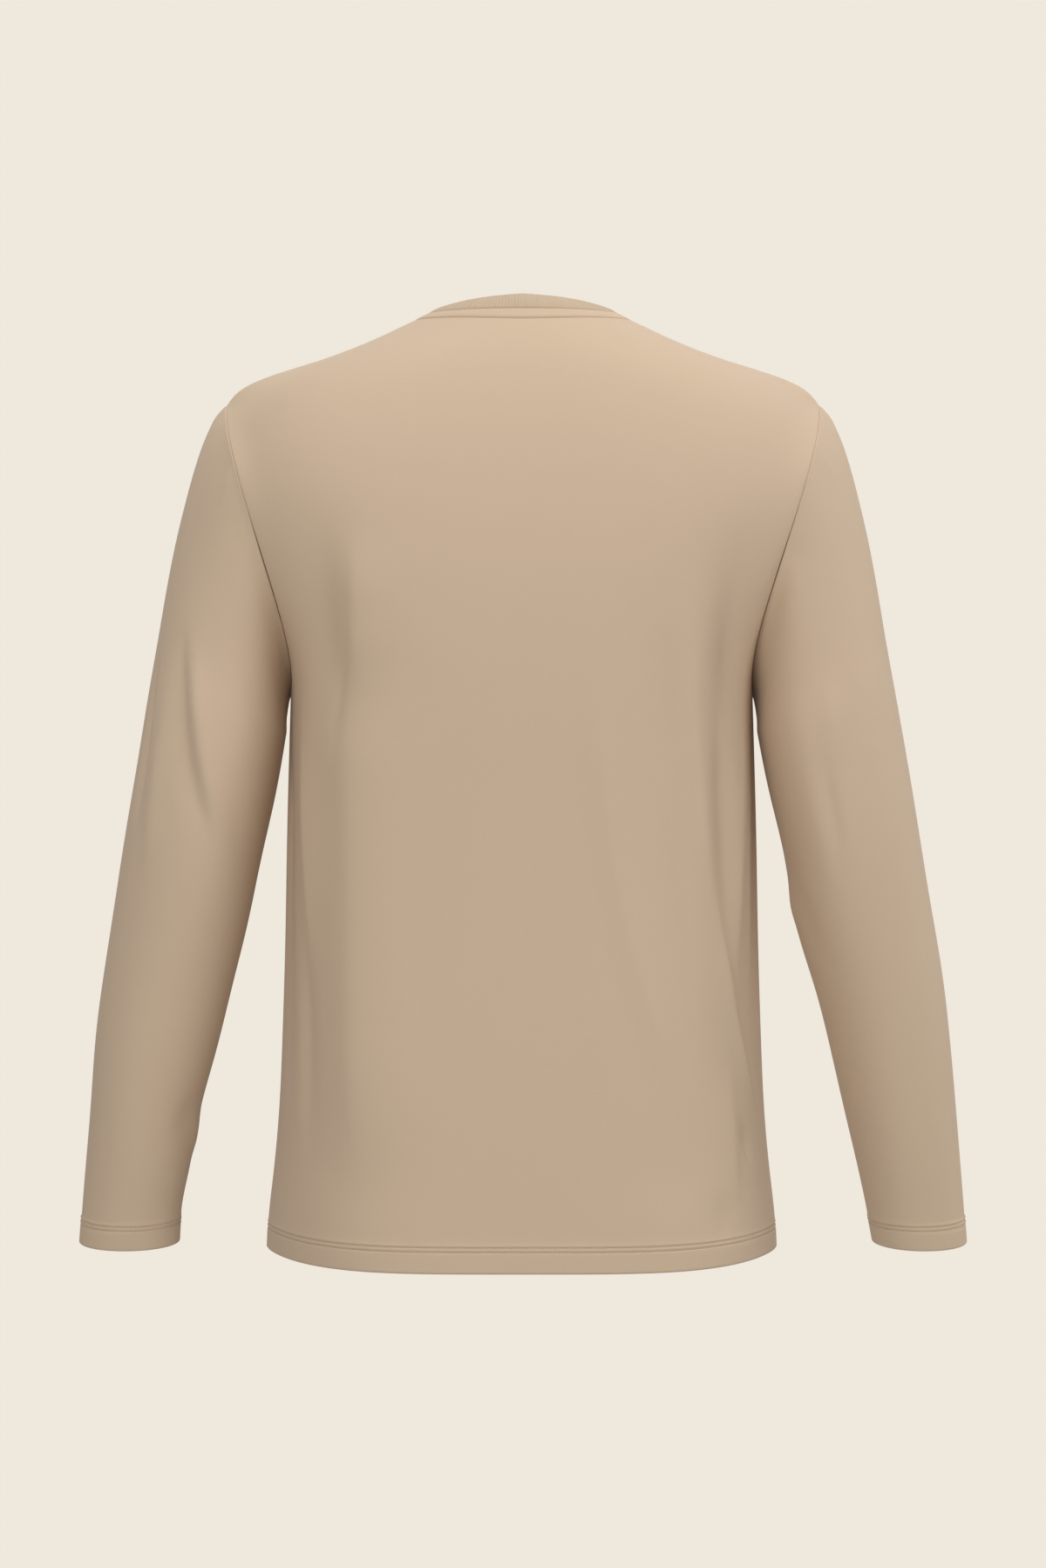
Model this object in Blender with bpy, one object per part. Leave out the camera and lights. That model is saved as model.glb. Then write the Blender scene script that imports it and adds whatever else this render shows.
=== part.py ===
"""Long-sleeved crew-neck T-shirt, hollow and filled out as if worn, made of the pieces it is sewn from.

Metres, +Z up. The front faces -Y and the wearer's left is +X. The origin is the centre of the neck
opening, level with the two points where the shoulder seams meet the neck rib. Each piece is an open
surface of points, worked out from the tables below, with a wall inside it.
"""
import math
from collections import namedtuple

import bpy
import bmesh
import numpy as np

NAME = "long_sleeved_t_shirt"

# Cloth
JERSEY_WALL = 0.0016
HEM_WALL = 0.0024
RIB_WALL = 0.0022
SEAM_GAP = 0.0003
ARMHOLE_GAP = 0.0008
HEM_TURNING = 0.020
HEM_STEP = 0.002
SEAM_FADE = 0.030
FADE_ROWS = 3
CLOTH_COLOUR = (0.60, 0.46, 0.32, 1.0)
RIB_COLOUR = (0.59, 0.45, 0.31, 1.0)
ROUGHNESS = 0.85

# Rows and columns of faces. A hem's turning has HEM_ROWS rows of points, and a seam line has FINE steps
# before it is cut into rows.
PANEL_COLUMNS = 28
BODY_ROWS = 10
ARMHOLE_ROWS = 12
SHOULDER_ROWS = 8
CAP_ROWS = 8
ARM_ROWS = 12
RIB_ROWS = 3
HEM_ROWS = 2
FINE = 400
RELAX_PASSES = 10
SHARP_ANGLE = math.radians(50)

# The body's half-width below the armholes, level by level, and how far it hangs to the left there
Girth = namedtuple("Girth", "height half_width")
GIRTH = (
    Girth(-0.703, 0.1925),
    Girth(-0.685, 0.1918),
    Girth(-0.650, 0.1882),
    Girth(-0.600, 0.1836),
    Girth(-0.540, 0.1809),
    Girth(-0.480, 0.1791),
    Girth(-0.400, 0.1777),
    Girth(-0.281, 0.1745),
)
SWAY = 0.001

# The crest of the shoulder, where the shoulder seam lies, from the neck to the tip
Crest = namedtuple("Crest", "height out")
CREST = (
    Crest(0.0008, 0.0728),
    Crest(-0.0064, 0.0905),
    Crest(-0.0230, 0.1240),
    Crest(-0.0376, 0.1700),
    Crest(-0.0512, 0.2076),
    Crest(-0.0670, 0.2244),
)

# The armhole seam's two halves are Bezier curves from its lowest point to the shoulder tip
ArmholeHalf = namedtuple("ArmholeHalf", "low_out low_deep low_up top_out top_deep top_up")
ARMHOLE_BACK = ArmholeHalf(-0.015, 0.096, 0.015, -0.006, 0.094, -0.060)
ARMHOLE_FRONT = ArmholeHalf(-0.026, 0.086, 0.010, -0.016, 0.078, -0.056)

# How deep the body is, level by level. The back and the front half of each level section are
# |x / half width| ** flat + |y / depth| ** edge = 1.
Section = namedtuple("Section", "height depth flat edge")
SECTIONS_BACK = (
    Section(-0.703, 0.1310, 4.0, 1.30),
    Section(-0.650, 0.1280, 4.1, 1.32),
    Section(-0.600, 0.1260, 4.2, 1.35),
    Section(-0.480, 0.1180, 4.4, 1.45),
    Section(-0.380, 0.1150, 4.5, 1.50),
    Section(-0.281, 0.1170, 4.4, 1.60),
    Section(-0.200, 0.1150, 4.2, 1.80),
    Section(-0.150, 0.1105, 4.0, 1.90),
    Section(-0.100, 0.1015, 3.7, 1.90),
    Section(-0.067, 0.0920, 3.2, 1.65),
    Section(-0.030, 0.0760, 2.6, 1.60),
    Section(-0.010, 0.0630, 2.2, 1.80),
    Section(0.001, 0.0540, 2.0, 2.00),
)
SECTIONS_FRONT = (
    Section(-0.703, 0.1220, 3.4, 1.40),
    Section(-0.600, 0.1160, 3.4, 1.45),
    Section(-0.480, 0.1130, 3.4, 1.50),
    Section(-0.380, 0.1150, 3.3, 1.55),
    Section(-0.281, 0.1190, 3.2, 1.60),
    Section(-0.200, 0.1180, 3.4, 1.80),
    Section(-0.150, 0.1110, 3.6, 1.90),
    Section(-0.100, 0.0930, 3.4, 1.90),
    Section(-0.050, 0.0590, 3.0, 1.80),
    Section(-0.020, 0.0300, 2.5, 1.80),
    Section(0.001, 0.0050, 2.2, 2.00),
)

# The neck seam drops below its two high points, along 1 - |x / half width| ** flat. The panel's rows
# sag more and more towards it, the last ones most squarely.
NeckHalf = namedtuple("NeckHalf", "drop flat")
NECK_BACK = NeckHalf(0.0023, 2.0)
NECK_FRONT = NeckHalf(0.0870, 2.3)
NECK_SQUARENESS = 0.5

# The rib stands on the neck seam and leans in. Turn is 0 at the back, 90 at a side, 180 in front.
RIB_WIDTH = 0.0160
RIB_CROWN = 0.0012
RibLean = namedtuple("RibLean", "turn lean")
RIB_LEAN = (
    RibLean(0, 42),
    RibLean(90, 60),
    RibLean(180, 28),
)

# The sleeves below the armholes, ring by ring. Out, deep and height are a ring's centre. Tilt lifts
# its outer edge and pitch lowers its back edge, in degrees.
SleeveRing = namedtuple("SleeveRing", "height out deep half_width half_depth tilt pitch")
SLEEVE_LEFT = (
    SleeveRing(-0.7008, 0.2993, -0.014, 0.0377, 0.031, 0.0, 6.0),
    SleeveRing(-0.670, 0.2967, -0.012, 0.0376, 0.033, 3.0, 6.0),
    SleeveRing(-0.640, 0.2923, -0.010, 0.0392, 0.036, 6.0, 5.0),
    SleeveRing(-0.600, 0.2868, -0.007, 0.0410, 0.040, 8.0, 4.0),
    SleeveRing(-0.550, 0.2780, -0.003, 0.0456, 0.045, 9.0, 3.0),
    SleeveRing(-0.500, 0.2681, 0.001, 0.0484, 0.050, 9.0, 2.0),
    SleeveRing(-0.450, 0.2578, 0.004, 0.0505, 0.055, 9.5, 0.0),
    SleeveRing(-0.400, 0.2485, 0.006, 0.0518, 0.059, 10.0, 0.0),
    SleeveRing(-0.350, 0.2387, 0.006, 0.0531, 0.063, 10.0, 0.0),
    SleeveRing(-0.305, 0.2312, 0.005, 0.0534, 0.066, 10.0, 0.0),
)
SLEEVE_RIGHT = (
    SleeveRing(-0.7008, 0.3016, -0.014, 0.0355, 0.031, 0.0, 6.0),
    SleeveRing(-0.670, 0.2974, -0.012, 0.0370, 0.033, 3.0, 6.0),
    SleeveRing(-0.640, 0.2929, -0.010, 0.0388, 0.036, 6.0, 5.0),
    SleeveRing(-0.600, 0.2864, -0.007, 0.0417, 0.040, 8.0, 4.0),
    SleeveRing(-0.550, 0.2781, -0.003, 0.0450, 0.045, 9.0, 3.0),
    SleeveRing(-0.500, 0.2684, 0.001, 0.0482, 0.050, 9.0, 2.0),
    SleeveRing(-0.450, 0.2565, 0.004, 0.0512, 0.055, 9.5, 0.0),
    SleeveRing(-0.400, 0.2480, 0.006, 0.0513, 0.059, 10.0, 0.0),
    SleeveRing(-0.350, 0.2381, 0.006, 0.0530, 0.063, 10.0, 0.0),
    SleeveRing(-0.305, 0.2297, 0.005, 0.0536, 0.066, 10.0, 0.0),
)

# Each lengthwise line of a sleeve's cap leaves the armhole seam along these handles and joins the
# top ring down the arm. Turn is 0 at the shoulder tip, 90 at the back and 180 under the arm.
CapHandle = namedtuple("CapHandle", "turn out deep up join")
CAP = (
    CapHandle(0, 0.030, 0.000, -0.030, 0.075),
    CapHandle(45, 0.034, 0.018, -0.026, 0.070),
    CapHandle(90, 0.030, 0.014, -0.016, 0.050),
    CapHandle(135, 0.016, 0.004, -0.008, 0.024),
    CapHandle(180, 0.004, 0.000, -0.008, 0.010),
)

# The largest folds. Across is the share from the centre line on a panel, left positive, and degrees
# round a sleeve. Depth is positive for a ridge. Skew below 1 makes a fold deepest near its top.
Fold = namedtuple("Fold", "piece top_across top low_across low width depth skew")
FOLDS = (
    Fold("back_panel", 0.60, -0.15, 0.55, -0.52, 0.026, 0.0040, 0.6),
    Fold("back_panel", 0.80, -0.13, 0.76, -0.42, 0.030, -0.0060, 0.8),
    Fold("back_panel", 0.90, -0.22, 0.88, -0.60, 0.020, 0.0040, 0.5),
    Fold("back_panel", -0.60, -0.15, -0.56, -0.64, 0.026, 0.0040, 0.6),
    Fold("back_panel", -0.80, -0.13, -0.78, -0.46, 0.030, -0.0060, 0.8),
    Fold("back_panel", -0.90, -0.22, -0.90, -0.62, 0.020, 0.0040, 0.5),
    Fold("back_panel", -0.86, -0.52, -0.96, -0.72, 0.026, 0.0035, 1.0),
    Fold("front_panel", 0.74, -0.14, 0.66, -0.50, 0.032, -0.0050, 0.7),
    Fold("front_panel", -0.74, -0.14, -0.68, -0.56, 0.032, -0.0050, 0.7),
    Fold("sleeve_left", 55, -0.20, 120, -0.43, 0.018, -0.0035, 1.0),
    Fold("sleeve_left", 190, -0.52, 165, -0.66, 0.018, -0.0030, 1.0),
    Fold("sleeve_right", 115, -0.26, 95, -0.38, 0.020, -0.0030, 1.0),
    Fold("sleeve_right", 200, -0.38, 160, -0.52, 0.018, -0.0030, 1.0),
)
METRES_ACROSS_PANEL = 0.265
METRES_PER_DEGREE = 0.00095


def read(table, field, at):
    """A column of a table at any value of the table's first column, on a natural cubic spline."""
    rows = sorted(table)
    knots = np.array([row[0] for row in rows])
    values = np.array([getattr(row, field) for row in rows])
    steps = np.diff(knots)
    slopes = np.diff(values) / steps
    inner = range(1, len(knots) - 1)
    system = np.eye(len(knots))
    load = np.zeros(len(knots))
    for i in inner:
        system[i, i - 1:i + 2] = steps[i - 1], 2 * (steps[i - 1] + steps[i]), steps[i]
        load[i] = 6 * (slopes[i] - slopes[i - 1])
    bend = np.linalg.solve(system, load)
    at = np.asarray(at, dtype=float)
    k = np.clip(np.searchsorted(knots, at) - 1, 0, len(steps) - 1)
    below = at - knots[k]
    above = knots[k + 1] - at
    step = steps[k]
    curve = (bend[k] * above ** 3 + bend[k + 1] * below ** 3) / (6 * step)
    low = (values[k] / step - bend[k] * step / 6) * above
    high = (values[k + 1] / step - bend[k + 1] * step / 6) * below
    return curve + low + high


def ease(value):
    """0 to 1 with a level start and end."""
    clipped = np.clip(value, 0.0, 1.0)
    return clipped * clipped * (3 - 2 * clipped)


def unit(vectors):
    return vectors / np.linalg.norm(vectors, axis=-1, keepdims=True)


def evenly(points, count):
    """The same line of points, cut into count steps of equal length."""
    lengths = np.linalg.norm(np.diff(points, axis=0), axis=1)
    travelled = np.concatenate([[0.0], np.cumsum(lengths)])
    wanted = np.linspace(0.0, travelled[-1], count + 1)
    return np.stack([np.interp(wanted, travelled, points[:, k]) for k in range(3)], axis=-1)


def bezier(start, start_handle, end_handle, end, steps):
    """A cubic Bezier curve. The handles are given from their own ends."""
    t = np.linspace(0.0, 1.0, steps + 1)[:, None]
    first = start + start_handle
    second = end + end_handle
    return ((1 - t) ** 3 * start + 3 * (1 - t) ** 2 * t * first
            + 3 * (1 - t) * t ** 2 * second + t ** 3 * end)


def section_depth(side, x, half_width, height):
    """How deep a level section is at x. Side is 1 at the back and -1 in front."""
    table = SECTIONS_BACK if side > 0 else SECTIONS_FRONT
    flat = read(table, "flat", height)
    edge = read(table, "edge", height)
    share = np.clip(np.abs(x) / half_width, 0.0, 1.0)
    return read(table, "depth", height) * (1 - share ** flat) ** (1 / edge)


def side_line():
    """The left side seam, hem to armhole."""
    height = np.linspace(GIRTH[0].height, GIRTH[-1].height, FINE + 1)
    out = read(GIRTH, "half_width", height)
    return np.stack([out, np.zeros_like(height), height], axis=-1)


def armhole_line(side):
    """The left half of an armhole seam, up to the shoulder tip."""
    half = ARMHOLE_BACK if side > 0 else ARMHOLE_FRONT
    low = np.array([GIRTH[-1].half_width, 0.0, GIRTH[-1].height])
    tip = np.array([CREST[-1].out, 0.0, CREST[-1].height])
    low_handle = np.array([half.low_out, side * half.low_deep, half.low_up])
    top_handle = np.array([half.top_out, side * half.top_deep, half.top_up])
    return bezier(low, low_handle, top_handle, tip, FINE)


def shoulder_line():
    """The left shoulder seam, tip to neck."""
    height = np.linspace(CREST[-1].height, CREST[0].height, FINE + 1)
    out = read(CREST, "out", height)
    return np.stack([out, np.zeros_like(height), height], axis=-1)


def level_widths(side):
    """Heights, and the half-width of the level section that meets the panel's edge at each."""
    table = SECTIONS_BACK if side > 0 else SECTIONS_FRONT
    edge_line = np.concatenate([side_line()[:-1], armhole_line(side)[:-1], shoulder_line()])
    out, deep, height = edge_line.T
    flat = read(table, "flat", height)
    edge = read(table, "edge", height)
    share = np.abs(deep) / read(table, "depth", height)
    return height, out / (1 - share ** edge) ** (1 / flat)


def row_ends(side):
    """Where a panel's rows meet its left edge, from the hem up to the neck."""
    side_seam = side_line()
    height = side_seam[:, 2]
    fold_top = height[0] + HEM_TURNING
    fold = [[np.interp(fold_top, height, side_seam[:, k]) for k in range(3)]]
    return np.concatenate([
        side_seam[:1],
        fold,
        evenly(side_seam[height > fold_top + HEM_STEP], BODY_ROWS),
        evenly(armhole_line(side), ARMHOLE_ROWS)[1:],
        evenly(shoulder_line(), SHOULDER_ROWS)[1:],
    ])


def relaxed(points):
    """The panel drawn smooth between its seams, its hem and its neck, which stay where they are."""
    for _ in range(RELAX_PASSES):
        moving = points[HEM_ROWS + 1:-1, 1:-1]
        along = (points[HEM_ROWS:-2, 1:-1] + points[HEM_ROWS + 2:, 1:-1]) / 2
        across = (points[HEM_ROWS + 1:-1, :-2] + points[HEM_ROWS + 1:-1, 2:]) / 2
        points[HEM_ROWS + 1:-1, 1:-1] = (moving + (along + across) / 2) / 2
    return points


def panel_points(side):
    """Rows from the hem up to the neck, columns from the wearer's right to left."""
    neck = NECK_BACK if side > 0 else NECK_FRONT
    level_heights, level_half_widths = level_widths(side)
    ends = row_ends(side)
    yoke = ARMHOLE_ROWS + SHOULDER_ROWS
    sagging = np.clip(np.arange(len(ends)) - (len(ends) - 1 - yoke), 0, None) / yoke
    across = np.sin(np.linspace(-math.pi / 2, math.pi / 2, FINE + 1))
    rows = []
    for (out, _, level), share in zip(ends, sagging):
        scoop = (1 - np.abs(across) ** neck.flat) ** (1 - NECK_SQUARENESS * share ** 2)
        height = level - share * neck.drop * scoop
        half_width = np.interp(height, level_heights, level_half_widths)
        deep = section_depth(side, out * across, half_width, height)
        below_tip = (CREST[-1].height - height) / (CREST[-1].height - GIRTH[-1].height)
        sway = SWAY * ease(below_tip)
        row = np.stack([out * across + sway, side * deep, height], axis=-1)
        rows.append(evenly(row, PANEL_COLUMNS))
    return relaxed(np.array(rows))


def armhole(out_side):
    """The closed armhole seam from the shoulder tip down the back and up the front."""
    column = -1 if out_side > 0 else 0
    lowest = -1 - SHOULDER_ROWS - ARMHOLE_ROWS
    back = panel_points(1)[lowest:-SHOULDER_ROWS, column]
    front = panel_points(-1)[lowest:-SHOULDER_ROWS, column]
    return np.concatenate([back[::-1], front[1:-1]])


def sleeve_ring(table, height, out_side, turns):
    """One ring of a sleeve. Turns are radians from its outer edge towards its back."""
    out, deep, half_width, half_depth, tilt, pitch = (
        float(read(table, field, height)) for field in SleeveRing._fields[1:]
    )
    tilt = math.radians(tilt)
    pitch = math.radians(pitch)
    centre = np.array([out_side * out, deep, height])
    outward = half_width * np.array([out_side * math.cos(tilt), 0.0, math.sin(tilt)])
    backward = half_depth * np.array([0.0, math.cos(pitch), -math.sin(pitch)])
    return centre + np.cos(turns)[:, None] * outward + np.sin(turns)[:, None] * backward


def sleeve_points(table, out_side):
    """Rows from the armhole to the wrist, columns round the sleeve."""
    seam = armhole(out_side) + np.array([out_side * ARMHOLE_GAP, 0.0, 0.0])
    count = len(seam)
    turns = np.linspace(0.0, 2 * math.pi, count, endpoint=False)
    lowest = table[0].height
    highest = table[-1].height
    above_hem = lowest + HEM_TURNING + HEM_STEP
    heights = list(np.linspace(highest, above_hem, ARM_ROWS + 1)) + [lowest + HEM_TURNING, lowest]
    rings = np.array([sleeve_ring(table, height, out_side, turns) for height in heights])
    down = unit(rings[1] - rings[0])
    degrees = np.degrees(turns)
    folded = np.minimum(degrees, 360 - degrees)
    backward = np.where(degrees > 180, -1.0, 1.0)
    start = np.stack([
        out_side * read(CAP, "out", folded),
        backward * read(CAP, "deep", folded),
        read(CAP, "up", folded),
    ], axis=-1)
    join = read(CAP, "join", folded)
    lines = [
        evenly(bezier(seam[i], start[i], -join[i] * down[i], rings[0][i], FINE), CAP_ROWS)
        for i in range(count)
    ]
    cap = np.swapaxes(np.array(lines), 0, 1)
    return np.concatenate([cap[:-1], rings])


def rib_points():
    """Rows from the neck seam to the rib's free edge, columns round the neck from its left side."""
    back = panel_points(1)[-1, ::-1]
    front = panel_points(-1)[-1]
    seam = np.concatenate([back[:-1], front[:-1]])
    along = unit(np.roll(seam, -1, axis=0) - np.roll(seam, 1, axis=0))
    inward = unit(np.stack([-along[:, 1], along[:, 0], np.zeros(len(seam))], axis=-1))
    turn = np.degrees(np.arccos(np.clip(-inward[:, 1], -1.0, 1.0)))
    lean = np.radians(read(RIB_LEAN, "lean", turn))[:, None]
    rise = np.cos(lean) * np.array([0.0, 0.0, 1.0]) + np.sin(lean) * inward
    rise = unit(rise - along * np.sum(rise * along, axis=1, keepdims=True))
    outward = np.cross(along, rise)
    rows = []
    for share in np.linspace(0.0, 1.0, RIB_ROWS + 1):
        crown = RIB_CROWN * math.sin(math.pi * share)
        rows.append(seam + rise * (SEAM_GAP + RIB_WIDTH * share) + outward * crown)
    return np.array(rows)


def fold_depths(piece, across, heights, metres_across):
    """How far each point moves out along its normal for the folds of one piece."""
    moved = np.zeros(heights.shape)
    for fold in FOLDS:
        if fold.piece != piece:
            continue
        down = np.clip((fold.top - heights) / (fold.top - fold.low), 0.0, 1.0)
        line = fold.top_across + (fold.low_across - fold.top_across) * down
        aside = (across - line) * metres_across
        swell = np.sin(math.pi * down ** fold.skew)
        moved += fold.depth * swell * np.exp(-(aside / fold.width) ** 2)
    return moved


def grid_normals(points, facing, round_loop):
    """A unit normal at each point. Facing is 1 where columns crossed with rows point outwards."""
    along = np.gradient(points, axis=0)
    if round_loop:
        across = np.roll(points, -1, axis=1) - np.roll(points, 1, axis=1)
    else:
        across = np.gradient(points, axis=1)
    return facing * unit(np.cross(across, along))


def folded_panel(name, side):
    """A panel's outer points with its folds, which fade out at its seams."""
    points = panel_points(side)
    rows, columns = points.shape[:2]
    across = np.linspace(-1.0, 1.0, columns)
    from_side = (1 - np.abs(across)) * METRES_ACROSS_PANEL
    from_top = (rows - 1 - np.arange(rows))[:, None]
    fade = ease(from_side / SEAM_FADE) * ease(from_top / FADE_ROWS)
    moved = fold_depths(name, across, points[..., 2], METRES_ACROSS_PANEL) * fade
    return points + grid_normals(points, -side, False) * moved[..., None]


def sewn_edges(points):
    """Where a panel meets the other one: its side seams and shoulder seams."""
    sewn = np.zeros(points.shape[:2], dtype=bool)
    sewn[:, [0, -1]] = True
    sewn[-SHOULDER_ROWS - ARMHOLE_ROWS:-SHOULDER_ROWS - 1, [0, -1]] = False
    return sewn


def drawn_back(points, normals, sewn):
    """The panel with its sewn edges moved in by half the gap."""
    inwards = np.zeros(points.shape)
    inwards[:, 0] = points[:, 1] - points[:, 0]
    inwards[:, -1] = points[:, -2] - points[:, -1]
    inwards = inwards[sewn]
    upright = normals[sewn]
    level = unit(inwards - upright * np.sum(inwards * upright, axis=-1, keepdims=True))
    trimmed = points.copy()
    trimmed[sewn] += level * SEAM_GAP / 2
    return trimmed


def add_cloth(collection, name, outer, inner, round_loop, colour):
    """One closed wall between two grids of points, in a material of its own."""
    solid = bmesh.new()
    skins = [[[solid.verts.new(point) for point in row] for row in skin] for skin in (outer, inner)]

    def strip(first, second, closed):
        for c in range(len(first) if closed else len(first) - 1):
            after = (c + 1) % len(first)
            solid.faces.new((first[c], first[after], second[after], second[c]))

    for skin in skins:
        for row, next_row in zip(skin, skin[1:]):
            strip(row, next_row, round_loop)
    for r in (0, -1):
        strip(skins[0][r], skins[1][r], round_loop)
    if not round_loop:
        for c in (0, -1):
            strip([row[c] for row in skins[0]], [row[c] for row in skins[1]], False)
    bmesh.ops.recalc_face_normals(solid, faces=solid.faces)
    mesh = bpy.data.meshes.new(name)
    solid.to_mesh(mesh)
    solid.free()
    mesh.shade_smooth()
    mesh.set_sharp_from_angle(angle=SHARP_ANGLE)
    material = bpy.data.materials.new(name)
    material.use_nodes = True
    shader = material.node_tree.nodes["Principled BSDF"]
    shader.inputs["Base Color"].default_value = colour
    shader.inputs["Roughness"].default_value = ROUGHNESS
    shader.inputs["Metallic"].default_value = 0.0
    mesh.materials.append(material)
    collection.objects.link(bpy.data.objects.new(name, mesh))


def add_panels(collection):
    """The front and the back, whose walls share one direction along the seams between them."""
    sides = {"back_panel": 1, "front_panel": -1}
    points = {name: folded_panel(name, side) for name, side in sides.items()}
    normals = {name: grid_normals(points[name], -side, False) for name, side in sides.items()}
    sewn = sewn_edges(points["back_panel"])
    shared = unit(normals["back_panel"][sewn] + normals["front_panel"][sewn])
    for name in sides:
        normals[name][sewn] = shared
        outer = drawn_back(points[name], normals[name], sewn)
        wall = np.full(len(outer), JERSEY_WALL)
        wall[:HEM_ROWS] = HEM_WALL
        add_cloth(collection, name, outer, outer - normals[name] * wall[:, None, None],
                  False, CLOTH_COLOUR)


def add_sleeve(collection, name, table, out_side):
    points = sleeve_points(table, out_side)
    rows, columns = points.shape[:2]
    across = np.arange(columns) * 360 / columns
    row = np.arange(rows)[:, None]
    fade = ease(row / FADE_ROWS) * ease((rows - 1 - row) / FADE_ROWS)
    moved = fold_depths(name, across, points[..., 2], METRES_PER_DEGREE) * fade
    outer = points + grid_normals(points, -out_side, True) * moved[..., None]
    wall = np.full(rows, JERSEY_WALL)
    wall[-HEM_ROWS:] = HEM_WALL
    inner = outer - grid_normals(outer, -out_side, True) * wall[:, None, None]
    add_cloth(collection, name, outer, inner, True, CLOTH_COLOUR)


def add_rib(collection, name):
    outer = rib_points()
    inner = outer - grid_normals(outer, 1, True) * RIB_WALL
    add_cloth(collection, name, outer, inner, True, RIB_COLOUR)


def build():
    for thing in list(bpy.data.objects):
        bpy.data.objects.remove(thing)
    collection = bpy.data.collections.new(NAME)
    bpy.context.scene.collection.children.link(collection)
    add_panels(collection)
    add_sleeve(collection, "sleeve_left", SLEEVE_LEFT, 1)
    add_sleeve(collection, "sleeve_right", SLEEVE_RIGHT, -1)
    add_rib(collection, "neck_rib")


build()
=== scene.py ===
"""Long-sleeved crew-neck T-shirt in plain beige jersey, filled out with no wearer, seen from behind.

Metres, +Z up. The front faces -Y and the wearer's left is +X. The origin is the centre of the neck
opening, level with the points where the shoulder seams meet the neck rib.
"""
import math
from collections import namedtuple

import bmesh
import bpy
import numpy as np
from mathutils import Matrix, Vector


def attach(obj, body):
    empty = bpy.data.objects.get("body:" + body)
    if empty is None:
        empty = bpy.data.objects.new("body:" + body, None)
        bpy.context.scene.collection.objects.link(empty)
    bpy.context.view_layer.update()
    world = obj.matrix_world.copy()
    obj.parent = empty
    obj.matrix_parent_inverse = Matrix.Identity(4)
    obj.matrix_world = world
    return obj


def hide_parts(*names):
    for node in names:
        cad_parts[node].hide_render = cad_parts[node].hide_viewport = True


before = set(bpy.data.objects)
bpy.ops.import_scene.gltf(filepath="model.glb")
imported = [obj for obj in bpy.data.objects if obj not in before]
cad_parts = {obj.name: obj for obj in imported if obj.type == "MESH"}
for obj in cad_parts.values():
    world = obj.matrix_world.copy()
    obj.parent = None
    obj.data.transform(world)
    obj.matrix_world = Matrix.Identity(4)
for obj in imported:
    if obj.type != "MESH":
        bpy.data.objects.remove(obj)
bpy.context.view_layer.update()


# ---------------------------------------------------------------------------------------------
# The front and the back, each one piece of single jersey from hem to shoulder. They are joined by
# the side seams and the shoulder seams, and each keeps half of both armholes and of the neck.
# ---------------------------------------------------------------------------------------------
JERSEY_THICKNESS = 0.0009

# The hem is turned up this far, and the step down to single cloth above it is this long
HEM_TURNING = 0.020
HEM_STEP = 0.002

# How far the body hangs over to the left at the armholes' lowest points and below them
SWAY = 0.001

# Steps in a curve before it is cut into the steps of a net
CURVE_STEPS = 400

# The coarse net that shapes a panel, how often its inside is drawn smooth, and the cuts that each
# of its steps has along the panel's edge
PANEL_COLUMNS = 28
HEM_ROWS = 2
BODY_ROWS = 10
ARMHOLE_ROWS = 12
SHOULDER_ROWS = 8
RELAX_PASSES = 10
EDGE_CUTS = 48

# The fine net laid over it, apart from the close lines along its edges
FINE_COLUMNS = 168
FINE_BODY = 76
FINE_ARMHOLE = 50
FINE_SHOULDER = 30

# The body's half-width below the armholes, level by level
Girth = namedtuple("Girth", "height half_width")
GIRTH = (
    Girth(-0.703, 0.1925),
    Girth(-0.685, 0.1918),
    Girth(-0.650, 0.1882),
    Girth(-0.600, 0.1836),
    Girth(-0.540, 0.1809),
    Girth(-0.480, 0.1791),
    Girth(-0.400, 0.1777),
    Girth(-0.281, 0.1745),
)

# The crest of the shoulder, where the shoulder seam lies, from the neck to the tip
Crest = namedtuple("Crest", "height out")
CREST = (
    Crest(0.0008, 0.0728),
    Crest(-0.0064, 0.0905),
    Crest(-0.0230, 0.1240),
    Crest(-0.0376, 0.1700),
    Crest(-0.0512, 0.2076),
    Crest(-0.0670, 0.2244),
)

# The armhole seam's two halves, as Bezier handles at its lowest point and at the shoulder tip
ArmholeHalf = namedtuple("ArmholeHalf", "low_out low_deep low_up top_out top_deep top_up")
ARMHOLE_BACK = ArmholeHalf(-0.010, 0.048, 0.040, -0.010, 0.128, -0.066)
ARMHOLE_FRONT = ArmholeHalf(-0.026, 0.086, 0.010, -0.016, 0.078, -0.056)

# Level sections, back and front: |x / half width| ** flat + |y / depth| ** edge = 1
Section = namedtuple("Section", "height depth flat edge")
SECTIONS_BACK = (
    Section(-0.703, 0.1310, 4.0, 1.30),
    Section(-0.650, 0.1280, 4.1, 1.32),
    Section(-0.600, 0.1260, 4.2, 1.35),
    Section(-0.480, 0.1180, 4.4, 1.45),
    Section(-0.380, 0.1150, 4.5, 1.50),
    Section(-0.281, 0.1170, 4.4, 1.60),
    Section(-0.200, 0.1150, 4.2, 1.80),
    Section(-0.150, 0.1105, 4.0, 1.90),
    Section(-0.100, 0.1015, 3.7, 1.90),
    Section(-0.067, 0.0920, 3.2, 1.65),
    Section(-0.030, 0.0760, 2.6, 1.60),
    Section(-0.010, 0.0630, 2.2, 1.80),
    Section(0.001, 0.0540, 2.0, 2.00),
)
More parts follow.
